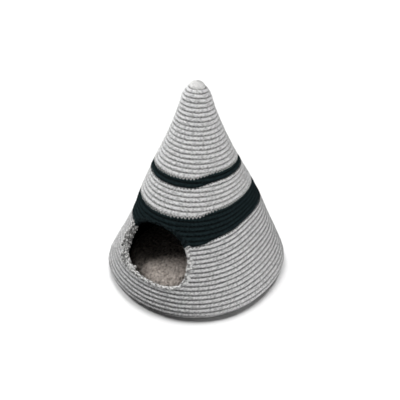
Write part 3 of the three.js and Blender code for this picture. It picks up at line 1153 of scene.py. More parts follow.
@dataclass(frozen=True)
class FloorFinish:
    """Plain pale studio floor.

    Attributes:
        name: Name of the material.
        pale: Its colour.
        shade: Share of that colour where it is darkest.
        cloud_scale: Darker and lighter patches in a metre.
        cloud_stops: Pattern values of the darkest and the palest colour.
        gloss: Strength of its shine.
        roughness: How rough it is.
    """

    name: str = "studio_floor"
    pale: Rgb = (0.93, 0.93, 0.93)
    shade: float = 0.985
    cloud_scale: float = 3
    cloud_stops: Span = (0.3, 0.7)
    gloss: float = 0.2
    roughness: float = 0.9

    def material(self) -> bpy.types.Material:
        """Builds the node material.

        Returns:
            The material.
        """
        sheet = NodeSheet(self.name)
        cloud = sheet.noise(sheet.coords(), self.cloud_scale, 1)
        darkest = tuple(self.shade * part for part in self.pale)
        sheet.colour(sheet.ramp(cloud, *zip(self.cloud_stops, (darkest, self.pale))))
        sheet.surface(self.roughness, self.gloss, 0.0, self.pale)
        return sheet.material


@dataclass
class Finishes:
    """All the object's materials.

    Attributes:
        rope: The ropes.
        thread: The sewing thread.
        painted_shade_thread: Greyer thread on the lowest rows, painted shade for their dark grooves.
        edge: The bound edge of the entrance.
        fleece: The cushion's cover.
    """

    rope: dict[Tone, bpy.types.Material] = field(default_factory=dict)
    thread: dict[Tone, bpy.types.Material] = field(default_factory=dict)
    painted_shade_thread: dict[Tone, bpy.types.Material] = field(default_factory=dict)
    edge: dict[Tone, bpy.types.Material] = field(default_factory=dict)
    fleece: bpy.types.Material | None = None

    def make(self) -> "Finishes":
        """Builds every material.

        Returns:
            Itself.
        """
        pale, middle, deep = (0.90, 0.90, 0.905), (0.71, 0.71, 0.715), (0.33, 0.33, 0.335)
        self.rope[Tone.LIGHT] = RopeFinish(
            "light_cotton_rope", pale, middle, deep, (1.0, 0.99, 0.975), 0.05
        ).material()
        pale, deep = (0.84, 0.84, 0.83), (0.60, 0.60, 0.59)
        self.thread[Tone.LIGHT] = ThreadFinish("light_thread", pale, deep).material()
        # greyer thread for the lowest rows: painted shade for their dark grooves
        pale, deep = (0.46, 0.46, 0.46), (0.27, 0.27, 0.27)
        self.painted_shade_thread[Tone.LIGHT] = ThreadFinish("painted_shade_light_thread", pale, deep).material()
        pale, deep = (0.92, 0.915, 0.90), (0.16, 0.158, 0.154)
        self.edge[Tone.LIGHT] = EdgeFinish("light_bound_edge", pale, deep).material()

        gloss = 0.04
        pale, middle, deep = (0.017, 0.028, 0.031), (0.011, 0.019, 0.021), (0.005, 0.009, 0.010)
        self.rope[Tone.DARK] = RopeFinish(
            "dark_cotton_rope", pale, middle, deep, (0.9, 1.0, 1.0), 0.02, gloss
        ).material()
        pale, deep = (0.016, 0.024, 0.026), (0.006, 0.009, 0.010)
        self.thread[Tone.DARK] = ThreadFinish("dark_thread", pale, deep, gloss).material()
        pale, deep = (0.016, 0.025, 0.027), (0.003, 0.005, 0.006)
        self.edge[Tone.DARK] = EdgeFinish("dark_bound_edge", pale, deep, gloss).material()
        self.fleece = FleeceFinish(
            "warm_fleece", (0.95, 0.87, 0.80), (0.72, 0.64, 0.58), (0.26, 0.215, 0.185)
        ).material()
        return self


# Rope lengths and their sewing


@dataclass(frozen=True)
class RopeSection:
    """The rope's section, pressed a little square by the sewing.

    Attributes:
        half_width: Half its width down the wall, a little over half a turn so that neighbours press together.
        half_depth: Half its depth through the wall.
        centre: Lift of its middle.
        squareness: 2 is an ellipse, more is squarer.
        inner_bulge: How many times wider it is on its inner side, where the turns press together.
        around: Points round it.
    """

    half_width: float = 5.82 * MM
    half_depth: float = 5.75 * MM
    centre: float = -2.75 * MM
    squareness: float = 2.05
    inner_bulge: float = 1.14
    around: int = 14

    def corners(self, squareness: np.ndarray) -> tuple[np.ndarray, np.ndarray]:
        """Places round the section.

        Args:
            squareness: One value for each ring.

        Returns:
            Distances down the wall and lifts from the middle, as (rings, around).
        """
        angle = FULL_TURN * (np.arange(self.around) + 0.5) / self.around
        power = (2 / squareness)[:, None]
        half_width = self.half_width * np.where(np.sin(angle) < 0, self.inner_bulge, 1)
        across = half_width * signed_power(np.cos(angle)[None, :], power)
        return across, self.half_depth * signed_power(np.sin(angle)[None, :], power)

    def surface_lift(self, from_middle: np.ndarray) -> np.ndarray:
        """Lift of the outer surface at a distance from the rope's middle line."""
        share = np.clip(np.abs(from_middle) / self.half_width, 0, 1)
        return self.centre + self.half_depth * (1 - share**self.squareness) ** (1 / self.squareness)


class RopeEnd(Enum):
    """How a rope length ends."""

    ROUNDED = "rounded"
    SPLICED = "spliced"
    BUTTED = "butted"


@dataclass
class RopeLength:
    """One length of rope, coiled round the cone and joined to the next.

    Attributes:
        name: Name of the piece.
        node: The solid that it stands for.
        tone: Its colour.
        first_turn: Turn at its start.
        last_turn: Turn at its end.
        seed: Makes its unevenness its own.
        wall: The wall.
        entrance: The entrance, where it is cut through this length.
        ends: How its start and its end are made.
        section: The rope's section.
        spacing: Widest step from ring to ring.
        least_steps: Fewest rings in one turn.
        wobble: How far it sways and rises.
        swell: How much its thickness changes, as a share.
        pressed_until: Turn down to which the start of the coil is pressed square.
        pressed_squareness: Squareness of its section at the start of the coil.
        end_taper: Sizes of the first rings at a rounded end.
        splice: Length of the long taper at a splice.
        thinnest: Size of a splice's thin end.
        cut_outwards: How far outside the entrance's outline it is cut.
        least_turn: Keeps its points off the axis.
        sway_seed: Added to the seed for its sway.
        rise_seed: Added to the seed for its rise.
    """

    name: str
    node: str
    tone: Tone
    first_turn: float
    last_turn: float
    seed: int
    wall: WallShape
    entrance: Entrance | None = None
    ends: tuple[RopeEnd, RopeEnd] = (RopeEnd.ROUNDED, RopeEnd.ROUNDED)
    section: RopeSection = RopeSection()
    spacing: float = 5.0 * MM
    least_steps: int = 44
    wobble: float = 0.30 * MM
    swell: float = 0.035
    pressed_until: float = 2.2
    pressed_squareness: float = 3.5
    end_taper: tuple[float, ...] = (0.55, 0.86)
    splice: float = 62 * MM
    thinnest: float = 0.05
    cut_outwards: float = 6.5 * MM
    least_turn: float = 0.02
    sway_seed: int = 100
    rise_seed: int = 200

    def _reach(self) -> tuple[float, float]:
        """Runs the rope on by half a splice where it is spliced.

        Returns:
            Its first and last turn.
        """
        run_on = [
            self.wall.turns_along(self.splice / 2, turn) * (end is RopeEnd.SPLICED)
            for turn, end in zip((self.first_turn, self.last_turn), self.ends)
        ]
        return self.first_turn - run_on[0], self.last_turn + run_on[1]

    def _taper(self, walked: np.ndarray) -> tuple[np.ndarray, np.ndarray, np.ndarray]:
        """How the rope narrows to a wedge at its splices.

        The upper rope's end keeps to the upper side of the row, and the next rope comes in from below.

        Args:
            walked: Places along the rope.

        Returns:
            The middle and the half-width of each ring, as shares of the half-width, and its depth as a share.
        """
        middle, half = np.zeros(len(walked)), np.ones(len(walked))
        for end, side, share in (
            (self.ends[0], 1, walked / self.splice),
            (self.ends[1], -1, (walked[-1] - walked) / self.splice),
        ):
            if end is RopeEnd.SPLICED:
                share = np.maximum(ease(np.clip(share, 0, 1)), self.thinnest)
                half = np.minimum(half, share)
                middle = middle + side * (1 - share)
        depth = np.where(half < 0.5, 2 * np.sqrt(half * (1 - half)), 1)
        return middle, half, depth

    def _rings(self) -> tuple[np.ndarray, np.ndarray, np.ndarray]:
        """Places the rope's surface on the wall.

        Returns:
            Turn, azimuth and lift of each of its points, as (rings, around).
        """
        turns = self.wall.spaced_turns(*self._reach(), self.spacing, self.least_steps)
        steps = FULL_TURN * self.wall.radius(turns[1:] + 0.5) * np.diff(turns)
        walked = np.concatenate(([0], np.cumsum(steps)))
        pressed = np.clip(turns / self.pressed_until, 0, 1)
        squareness = self.pressed_squareness + (self.section.squareness - self.pressed_squareness) * pressed
        across, lift = self.section.corners(squareness)
        size = 1 + self.swell * Unevenness(self.seed).along(walked)
        for index, share in enumerate(self.end_taper):
            size[index] *= share if self.ends[0] is RopeEnd.ROUNDED else 1
            size[-1 - index] *= share if self.ends[1] is RopeEnd.ROUNDED else 1
        middle, half, depth = self._taper(walked)
        sway = self.wobble * Unevenness(self.seed + self.sway_seed).along(walked)
        sway = sway + middle * self.section.half_width
        rise = self.wobble * Unevenness(self.seed + self.rise_seed).along(walked)
        width = np.minimum(size, 1.0) * half
        turn = turns[:, None] + 0.5 + (across * width[:, None] + sway[:, None]) / self.wall.pitch
        height = self.section.centre + lift * (size * depth)[:, None] + rise[:, None]
        azimuth = np.repeat(self.wall.helix_azimuth(turns)[:, None], self.section.around, axis=1)
        return np.maximum(turn, self.least_turn), azimuth, height

    def build(self, finishes: Finishes) -> bpy.types.Object:
        """Models and dresses the rope.

        Args:
            finishes: The materials.

        Returns:
            The piece.
        """
        turn, azimuth, lift = self._rings()
        hidden = None
        if self.entrance:
            shape = turn.shape
            hidden, turn, azimuth = self.entrance.snap(turn.ravel(), azimuth.ravel(), self.cut_outwards)
            hidden, turn, azimuth = hidden.reshape(shape), turn.reshape(shape), azimuth.reshape(shape)
        piece = Bench.tube(self.name, self.wall.point(turn, azimuth, lift), hidden)
        return Bench.finish(piece, finishes.rope[self.tone], self.tone.value, self.node)


@dataclass
class ZigzagStitches:
    """The zigzag sewing over the groove between one turn and the next.

    The last turn, over the edge of the next rope, is sewn with a thicker thread.

    Attributes:
        name: Name of the piece.
        tone: Colour of the thread.
        first_turn: Turn of the groove at its start.
        last_turn: Turn at its end.
        seed: Makes its unevenness its own.
        wall: The wall.
        entrance: The entrance, where it interrupts the sewing.
        climb: Turns at its end over which it climbs by one row, along a splice.
        wear_and_shade: Whether its thread is the greyer one, painted shade for dark grooves.
        section: The section of the rope that it is sewn into.
        stitch: Length of one stitch.
        least_steps: Fewest stitches in one turn.
        slip: How uneven the stitches are, as a share of one.
        bite: Reach of a stitch into the rope on either side.
        edge_bite: The same along the last turn, where the next rope has another colour.
        radius: Thickness of the thread.
        edge_radius: The same along the last turn.
        bite_range: Shortest and longest bite, as shares.
        radius_range: Thinnest and thickest thread, as shares.
        sunk: How deep the thread's middle lies in the rope.
        cut_outwards: How far outside the entrance's outline the sewing stops.
    """

    name: str
    tone: Tone
    first_turn: float
    last_turn: float
    seed: int
    wall: WallShape
    entrance: Entrance | None = None
    climb: float = 0.0
    wear_and_shade: bool = False
    section: RopeSection = RopeSection()
    stitch: float = 4.2 * MM
    least_steps: int = 16
    slip: float = 0.08
    bite: float = 2.3 * MM
    edge_bite: float = 3.9 * MM
    radius: float = 0.46 * MM
    edge_radius: float = 0.72 * MM
    bite_range: Span = (0.82, 1.15)
    radius_range: Span = (0.85, 1.15)
    sunk: float = 0.2 * MM
    cut_outwards: float = 10.5 * MM

    def build(self, finishes: Finishes) -> bpy.types.Object:
        """Models and dresses the stitches.

        Args:
            finishes: The materials.

        Returns:
            The piece.
        """
        draw = np.random.default_rng(self.seed)
        turns = self.wall.spaced_turns(self.first_turn, self.last_turn, self.stitch, self.least_steps)
        count = len(turns)
        turns = turns + draw.normal(0, self.slip, count) * np.gradient(turns)
        edge = (turns > self.last_turn - 1) & (self.climb > 0)
        bite = np.where(edge, self.edge_bite, self.bite) * draw.uniform(*self.bite_range, count)
        side = np.where(np.arange(count) % 2 == 0, -1.0, 1.0) * bite
        lift = self.section.surface_lift(self.wall.pitch / 2 - np.abs(side)) - self.sunk
        azimuth = self.wall.helix_azimuth(turns)
        place = turns + side / self.wall.pitch
        if self.climb:
            place = place - ease(np.clip((turns - self.last_turn) / self.climb + 1, 0, 1))
        points = self.wall.point(place, azimuth, lift)
        outer = self.wall.point(place, azimuth, lift + 1 * MM)
        normals = (outer - points) / MM
        keep = np.ones(count - 1, bool)
        if self.entrance:
            inside, _, _ = self.entrance.snap(turns, azimuth, self.cut_outwards)
            keep = ~(inside[:-1] | inside[1:])
        normals = normals[:-1] + normals[1:]
        thickness = np.where(edge, self.edge_radius, self.radius) * draw.uniform(*self.radius_range, count)
        starts, ends = points[:-1][keep], points[1:][keep]
        piece = Bench.prisms(self.name, starts, ends, normals[keep], thickness[1:][keep])
        # the lowest rows get the greyer thread, painted shade for their dark grooves
        threads = finishes.painted_shade_thread if self.wear_and_shade else finishes.thread
        return Bench.finish(piece, threads[self.tone], self.tone.value)


@dataclass
class CoiledWall:
    """The whole cone: five rope lengths from the apex down, its foot, and the sewing between the turns.

    Attributes:
        wall: The wall's shape.
        entrance: The entrance through it.
        start_turn: Where the tip rope comes out from under the button.
        narrow_top: First turn of the narrow dark band.
        middle_top: First turn of the middle rope.
        wide_top: First turn of the wide dark band.
        lower_top: First turn of the lower rope.
        low_turn: First turn of the foot.
        foot_turn: Last turn of the foot.
        sewing_lead: Part of a half splice by which the sewing starts early.
        rope_seed: Makes the first rope's unevenness its own; the others count on from it.
        sewing_seed: The same for the sewing.
    """

    wall: WallShape
    entrance: Entrance
    start_turn: float = 1.45
    narrow_top: float = 20.0
    middle_top: float = 22.0
    wide_top: float = 28.0
    lower_top: float = 34.0
    low_turn: float = 50.5
    foot_turn: float = 52.0
    sewing_lead: float = 0.4
    rope_seed: int = 11
    sewing_seed: int = 31

    def _half_splice(self, turn: float) -> float:
        """Half a splice's length, in turns."""
        return self.wall.turns_along(RopeLength.splice / 2, turn)

    def _ropes(self) -> tuple[RopeLength, ...]:
        """Lists the rope lengths.

        Returns:
            The ropes from the apex down; the last is the foot, which carries on from the lower rope.
        """
        hole, light, dark = self.entrance, Tone.LIGHT, Tone.DARK
        rounded, spliced, butted = RopeEnd.ROUNDED, RopeEnd.SPLICED, RopeEnd.BUTTED
        rows = (
            ("tip_rope", "tip_coil", light, self.start_turn, None, rounded),
            ("narrow_band_rope", "narrow_dark_band", dark, self.narrow_top, None, spliced),
            ("middle_rope", "middle_coil", light, self.middle_top, None, spliced),
            ("wide_band_rope", "wide_dark_band", dark, self.wide_top, hole, spliced),
            ("lower_rope", "lower_coil", light, self.lower_top, hole, spliced),
            ("foot_rope", "lower_coil", light, self.low_turn, None, butted),
        )
        ends = [(row[3], row[5]) for row in rows[1:]] + [(self.foot_turn, rounded)]
        return tuple(
            RopeLength(name, node, tone, first, last, seed, self.wall, entrance, (start, end))
            for seed, ((name, node, tone, first, entrance, start), (last, end))
            in enumerate(zip(rows, ends), start=self.rope_seed)
        )

    def build(self, finishes: Finishes) -> bpy.types.Object:
        """Models and dresses the rope lengths and their stitches.

        Args:
            finishes: The materials.

        Returns:
            The foot.
        """
        *sewn, foot = self._ropes()
        for rope in sewn:
            rope.build(finishes)
        foot_piece = foot.build(finishes)

        for seed, rope in enumerate(sewn, start=self.sewing_seed):
            name = rope.name.replace("_rope", "_stitches")
            lowest = rope is sewn[-1]
            climb = 0.0 if lowest else self._half_splice(rope.last_turn) * 2
            start = rope.first_turn + 1 - self.sewing_lead * self._half_splice(rope.first_turn)
            end = rope.last_turn + 1 + climb / 2
            ZigzagStitches(
                name, rope.tone, start, end, seed, self.wall, rope.entrance, climb, wear_and_shade=lowest
            ).build(finishes)
        return foot_piece


@dataclass
class TipButton:
    """The pressed start of the rope on the apex: a small domed button with a thread end on top.

    Attributes:
        wall: The wall that it tops.
        first_turn: Where the rope comes out from under it; its rim follows that rope's upper groove.
        crown: Lift of its top.
        rim: Lift of its rim, down in the groove.
        under: Lift of its underside.
        uneven: How far its top is uneven.
        paleness: How light it is between the edge finish's two colours.
        fullness: 2 is a round dome, more is fuller.
        rings: Rings from its middle to its rim.
        around: Points round it.
        first_ring: Size of its innermost ring, as a share.
        thread_radius: Thickness of the thread end.
        thread_steps: Steps along it.
        curl: Radius of its curl.
        curl_turns: How many times it curls round.
        curl_height: How high it stands.
        seed: Makes its unevenness its own.
    """

    wall: WallShape
    first_turn: float
    crown: float = 6.8 * MM
    rim: float = -0.4 * MM
    under: float = -4.0 * MM
    uneven: float = 0.35 * MM
    paleness: float = 0.68
    fullness: float = 2.8
    rings: int = 14
    around: int = 56
    first_ring: float = 0.02
    thread_radius: float = 0.75 * MM
    thread_steps: int = 22
    curl: float = 1.9 * MM
    curl_turns: float = 1.4
    curl_height: float = 3.4 * MM
    seed: int = 71

    def _button(self, finishes: Finishes) -> None:
        """Models and dresses the button.

        Args:
            finishes: The materials.
        """
        start = float(self.wall.helix_azimuth(self.first_turn))
        azimuth = FULL_TURN * np.arange(self.around) / self.around
        rim_turn = self.first_turn + azimuth / FULL_TURN
        share = np.linspace(self.first_ring, 1, self.rings)
        top = self.rim + (self.crown - self.rim) * np.sqrt(1 - share**self.fullness)
        lifts = np.concatenate((top, np.full(self.rings - 1, self.under)))
        share = np.concatenate((share, share[::-1][1:]))
        rough = Unevenness(self.seed).along(azimuth * self.wall.radius(self.first_turn + 0.5))
        lift = lifts[:, None] + self.uneven * rough[None, :] * share[:, None]
        turn = share[:, None] * rim_turn[None, :]
        angle = np.repeat(start + azimuth[None, :], len(share), axis=0)
        raised = np.full(turn.shape, self.paleness)
        button = Bench.tube("tip_button", self.wall.point(turn, angle, lift), raised=raised)
        Bench.finish(button, finishes.edge[Tone.LIGHT], Tone.LIGHT.value)

    def _thread_end(self, finishes: Finishes) -> None:
        """Models and dresses the curled thread end.

        Args:
            finishes: The materials.
        """
        step = np.linspace(0, 1, self.thread_steps)
        angle = self.curl_turns * FULL_TURN * step
        top = float(self.wall.height(0.0)) + self.crown - self.thread_radius
        side = np.stack((np.cos(angle), np.sin(angle), 0 * angle), axis=-1)
        rise = np.stack((0 * angle, 0 * angle, top + self.curl_height * step**2), axis=-1)
        end = Bench.sweep("thread_end", self.curl * side + rise, side, self.thread_radius)
        Bench.finish(end, finishes.thread[Tone.LIGHT], Tone.LIGHT.value)

    def build(self, finishes: Finishes) -> None:
        """Models and dresses the button and its thread end.

        Args:
            finishes: The materials.
        """
        self._button(finishes)
        self._thread_end(finishes)


@dataclass(frozen=True)
class LooseEnds:
    """One kind of loose end that sticks out of a frayed edge.

    Attributes:
        name: Name of the piece.
        count: How many.
        length: Shortest and longest.
        radius: Thinnest and thickest.
        sides: Sides of each.
        tip: Width of its far end as a share of its near end.
    """

    name: str
    count: int
    length: Span
    radius: Span
    sides: int
    tip: float


@dataclass
class EntranceEdge:
    """The sewn edge of the entrance: a lumpy roll over the cut ropes, whipped with thread, with frayed ends.

    Attributes:
        entrance: The entrance.
        section_points: Points round the roll.
        step: Step along the roll.
        gap_share: Half the gap between the dark and the light stretch, as a share of the way round.
        squareness: 2 is a round section, more is squarer.
        sill_width: The roll's width along the sill, as a share of its full width.
        sill_rise: How soon it is at its full width beside the sill.
        girth: Distance round the roll.
        lump_count: Lumps on the whole roll.
        lump_radius: Smallest and largest lump.
        lump_height: Height of a lump where the edge is neat, and where it is frayed.
        lump_level: How much of a lump's height lies below the plain section.
        groove_fill: How far the roll reaches out into the grooves between the cut ropes.
        frayed: Shares of the way round between which the edge is frayed.
        frayed_rise: How steeply the fraying sets in from either end of that stretch.
        frayed_swell: How much the roll swells where it is frayed.
        frayed_width: How many times wider it is there.
        frayed_painted_shade: How much darker it is there, under its loose ends.
        whip_step: From one round of the whipping thread to the next.
        whip_radius: Thickness of that thread.
        whip_points: Points in one round.
        loose: The loose ends of the frayed stretch.
        loose_root: How deep they are rooted.
        loose_spread: How far they point away from straight out.
        loose_reach: Angles round the roll between which they stand.
        loose_painted_shade: Skin level at their near and far ends, for the finish: painted shade at the
            roots, light at the tips.
        seed: Makes the lumps and the loose ends their own.
    """

    entrance: Entrance
    section_points: int = 24
    step: float = 1.6 * MM
    gap_share: float = 0.0008
    squareness: float = 2.5
    sill_width: float = 0.72
    sill_rise: float = 1.6
    girth: float = 42 * MM
    lump_count: int = 820
    lump_radius: Span = (2.0 * MM, 4.4 * MM)
    lump_height: Span = (2.4 * MM, 4.4 * MM)
    lump_level: float = 0.6
    groove_fill: float = 5.0 * MM
    frayed: Span = (0.56, 0.86)
    frayed_rise: float = 1.8
    frayed_swell: float = 2.0 * MM
    frayed_width: float = 1.35
    # frayed_painted_shade: How much painted shade darkens it there, under its loose ends.
    frayed_painted_shade: float = 0.7
    whip_step: float = 3.4 * MM
    whip_radius: float = 0.42 * MM
    whip_points: int = 18
    loose: tuple[LooseEnds, ...] = (
        LooseEnds("yarn_ends", 180, (4.5 * MM, 8.5 * MM), (1.6 * MM, 2.6 * MM), 6, 0.6),
        LooseEnds("loose_fibres", 500, (3.0 * MM, 7.0 * MM), (0.35 * MM, 0.6 * MM), 3, 0.0),
    )
    loose_root: float = 1.5 * MM
    loose_spread: float = 0.55
    loose_reach: Span = (0.1 * math.pi, 1.15 * math.pi)
    loose_painted_shade: Span = (0.1, 1.0)
    seed: int = 51

    @cached_property
    def _lumps(self) -> Lumps:
        """The lumps on the roll."""
        return Lumps(self.seed, self.entrance.length, self.girth, self.lump_count, self.lump_radius)

    def _fraying(self, share: np.ndarray) -> np.ndarray:
        """How frayed the edge is.

        Args:
            share: Shares of the way round.

        Returns:
            0 where it is neat, 1 in the middle of the frayed stretch.
        """
        first, last = self.frayed
        from_middle = np.abs(np.mod(share, 1) - (first + last) / 2) / ((last - first) / 2)
        return np.clip(self.frayed_rise * (1 - from_middle), 0, 1)

    def _raised(self, share: np.ndarray, angle: np.ndarray) -> np.ndarray:
        """Height of the lumps, from 0 to 1."""
        return self._lumps.height(np.mod(share, 1) * self.entrance.length, np.mod(angle, FULL_TURN))

    def _grown(self, share: np.ndarray, raised: np.ndarray) -> np.ndarray:
        """How far the roll's skin stands off its plain section.

        Args:
            share: Shares of the way round.
            raised: Height of the lumps, from 0 to 1.

        Returns:
            Distances.
        """
        fraying = self._fraying(share)
        height = self.lump_height[0] + (self.lump_height[1] - self.lump_height[0]) * fraying
        return height * (raised - self.lump_level) + self.frayed_swell * fraying

    def _steepness(self, share: np.ndarray) -> np.ndarray:
        """How squarely the edge crosses the rope rows: 0 along a row, 1 straight across it."""
        return np.abs(self.entrance.heading(share)[..., 1])

    def _section(self, share: np.ndarray, angle: np.ndarray, grown: np.ndarray) -> np.ndarray:
        """Points on the roll's surface.

        Args:
            share: Shares of the way round the entrance.
            angle: Angles round the roll: 0 points away from the hole, a quarter turn points out of the wall.
            grown: How far they stand off the roll's plain section.

        Returns:
            Points.
        """
        edge = self.entrance
        steep = self._steepness(share)
        narrowing = self.sill_width + (1 - self.sill_width) * np.clip(self.sill_rise * steep, 0, 1)
        half_width = edge.edge_width / 2 * narrowing * (1 + (self.frayed_width - 1) * self._fraying(share))
        half_depth = (edge.edge_face - edge.edge_back) / 2
        middle = (edge.edge_face + edge.edge_back) / 2
        power = 2 / self.squareness
        in_groove = (0.5 + 0.5 * np.cos(FULL_TURN * edge.row_phase(share, half_width * 2))) ** 2
        fill = self.groove_fill * in_groove * steep**2 * np.clip(np.cos(angle), 0, None)
        outwards = half_width * (1 + signed_power(np.cos(angle), power)) + grown * np.cos(angle) + fill
        lift = middle + half_depth * signed_power(np.sin(angle), power) + grown * np.sin(angle)
        return edge.point(share, outwards, lift)

    def _roll(self, first: float, last: float, name: str, tone: Tone, node: str, finishes: Finishes) -> None:
        """Models one stretch of the roll and its whipping.

        Args:
            first: Share at its start.
            last: Share at its end.
            name: Name of the roll.
            tone: Its colour.
            node: The solid that it stands for.
            finishes: The materials.
        """
        length = (last - first) * self.entrance.length
        shares = np.linspace(first, last, int(length / self.step) + 1)
        share = np.repeat(shares[:, None], self.section_points, axis=1)
        angle = FULL_TURN * (np.arange(self.section_points) + 0.5) / self.section_points
        angle = np.repeat(angle[None, :], len(shares), axis=0)
        raised = self._raised(share, angle)
        points = self._section(share, angle, self._grown(share, raised))
        # painted shade in the hollows, deeper where the edge is frayed, under its loose ends
        painted_shade_level = raised * (1 - self.frayed_painted_shade * self._fraying(share) ** 2)
        piece = Bench.tube(name, points, raised=painted_shade_level)
        Bench.finish(piece, finishes.edge[tone], tone.value, node)

        wraps = int(length / self.whip_step)
        turns = np.linspace(0, wraps, wraps * self.whip_points)
        share = first + (last - first) * turns / wraps
        angle = FULL_TURN * turns
        grown = self._grown(share, self._raised(share, angle)) + self.whip_radius / 2
        path = self._section(share, angle, grown)
        inner = self._section(share, angle, grown - 1 * MM)
        thread = Bench.sweep(f"{name}_whipping", path, path - inner, self.whip_radius)
        Bench.finish(thread, finishes.thread[tone], tone.value)

    def _loose_ends(self, ends: LooseEnds, finishes: Finishes) -> None:
        """Models loose ends that stick out of the frayed stretch.

        Args:
            ends: Their kind.
            finishes: The materials.
        """
        draw = np.random.default_rng(self.seed + ends.count)
        first, last = self.frayed
        share = draw.triangular(first, (first + last) / 2, last, ends.count)
        angle = draw.uniform(*self.loose_reach, ends.count)
        grown = self._grown(share, self._raised(share, angle))
        roots = self._section(share, angle, grown - self.loose_root)
        out = unit(self._section(share, angle, grown) - roots)
        direction = unit(out + draw.normal(0, self.loose_spread, (ends.count, 3)))
        tips = roots + direction * draw.uniform(*ends.length, ends.count)[:, None]
        across = np.cross(direction, draw.normal(0, 1, (ends.count, 3)))
        radius = draw.uniform(*ends.radius, ends.count)
        # painted shade at the roots of the loose ends and light at their tips
        piece = Bench.prisms(ends.name, roots, tips, across, radius, ends.sides, ends.tip, self.loose_painted_shade)
        Bench.finish(piece, finishes.edge[Tone.LIGHT], Tone.LIGHT.value)

    def build(self, finishes: Finishes) -> None:
        """Models and dresses the dark stretch, the light stretch and the frayed ends.

        Args:
            finishes: The materials.
        """
        gap = self.gap_share
        left, right = self.entrance.crossing(-1), self.entrance.crossing(1)
        dark, light = (left + gap, right - gap), (right + gap, 1 + left - gap)
        self._roll(*dark, "dark_edge_roll", Tone.DARK, "entrance_edging_dark", finishes)
        self._roll(*light, "light_edge_roll", Tone.LIGHT, "entrance_edging_light", finishes)
        for ends in self.loose:
            self._loose_ends(ends, finishes)


@dataclass
class FlatBase:
    """The flat coil that the cone stands on.

    Attributes:
        wall: The wall, whose last turn the base carries on from.
        first_turn: Turn at its rim.
        middle_radius: Radius of the hole that is left in its middle.
        draft_steps: Steps in which its last turn is looked for.
        section: The rope's section.
        spacing: Widest step from ring to ring.
        least_steps: Fewest rings in one turn.
        seed: Makes its unevenness its own.
    """

    wall: WallShape
    first_turn: float = 52.0
    middle_radius: float = 3.0 * MM
    draft_steps: int = 2000
    section: RopeSection = RopeSection(half_depth=5.95 * MM, centre=-2.5 * MM, around=10)
    spacing: float = 7 * MM
    least_steps: int = 28
    seed: int = 61

    def build(self, finishes: Finishes) -> bpy.types.Object:
        """Models and dresses the base.

        Args:
            finishes: The materials.

        Returns:
            The piece.
        """
        turns = np.linspace(self.first_turn, self.wall.slopes[-1][0], self.draft_steps + 1)
        last = float(turns[np.argmax(self.wall.radius(turns + 0.5) < self.middle_radius)])
        rope = RopeLength(
            "base_rope", "base_coil", Tone.LIGHT, self.first_turn, last, self.seed, self.wall,
            section=self.section, spacing=self.spacing, least_steps=self.least_steps, wobble=0.0, swell=0.0,
        )
        return rope.build(finishes)


# Cushion


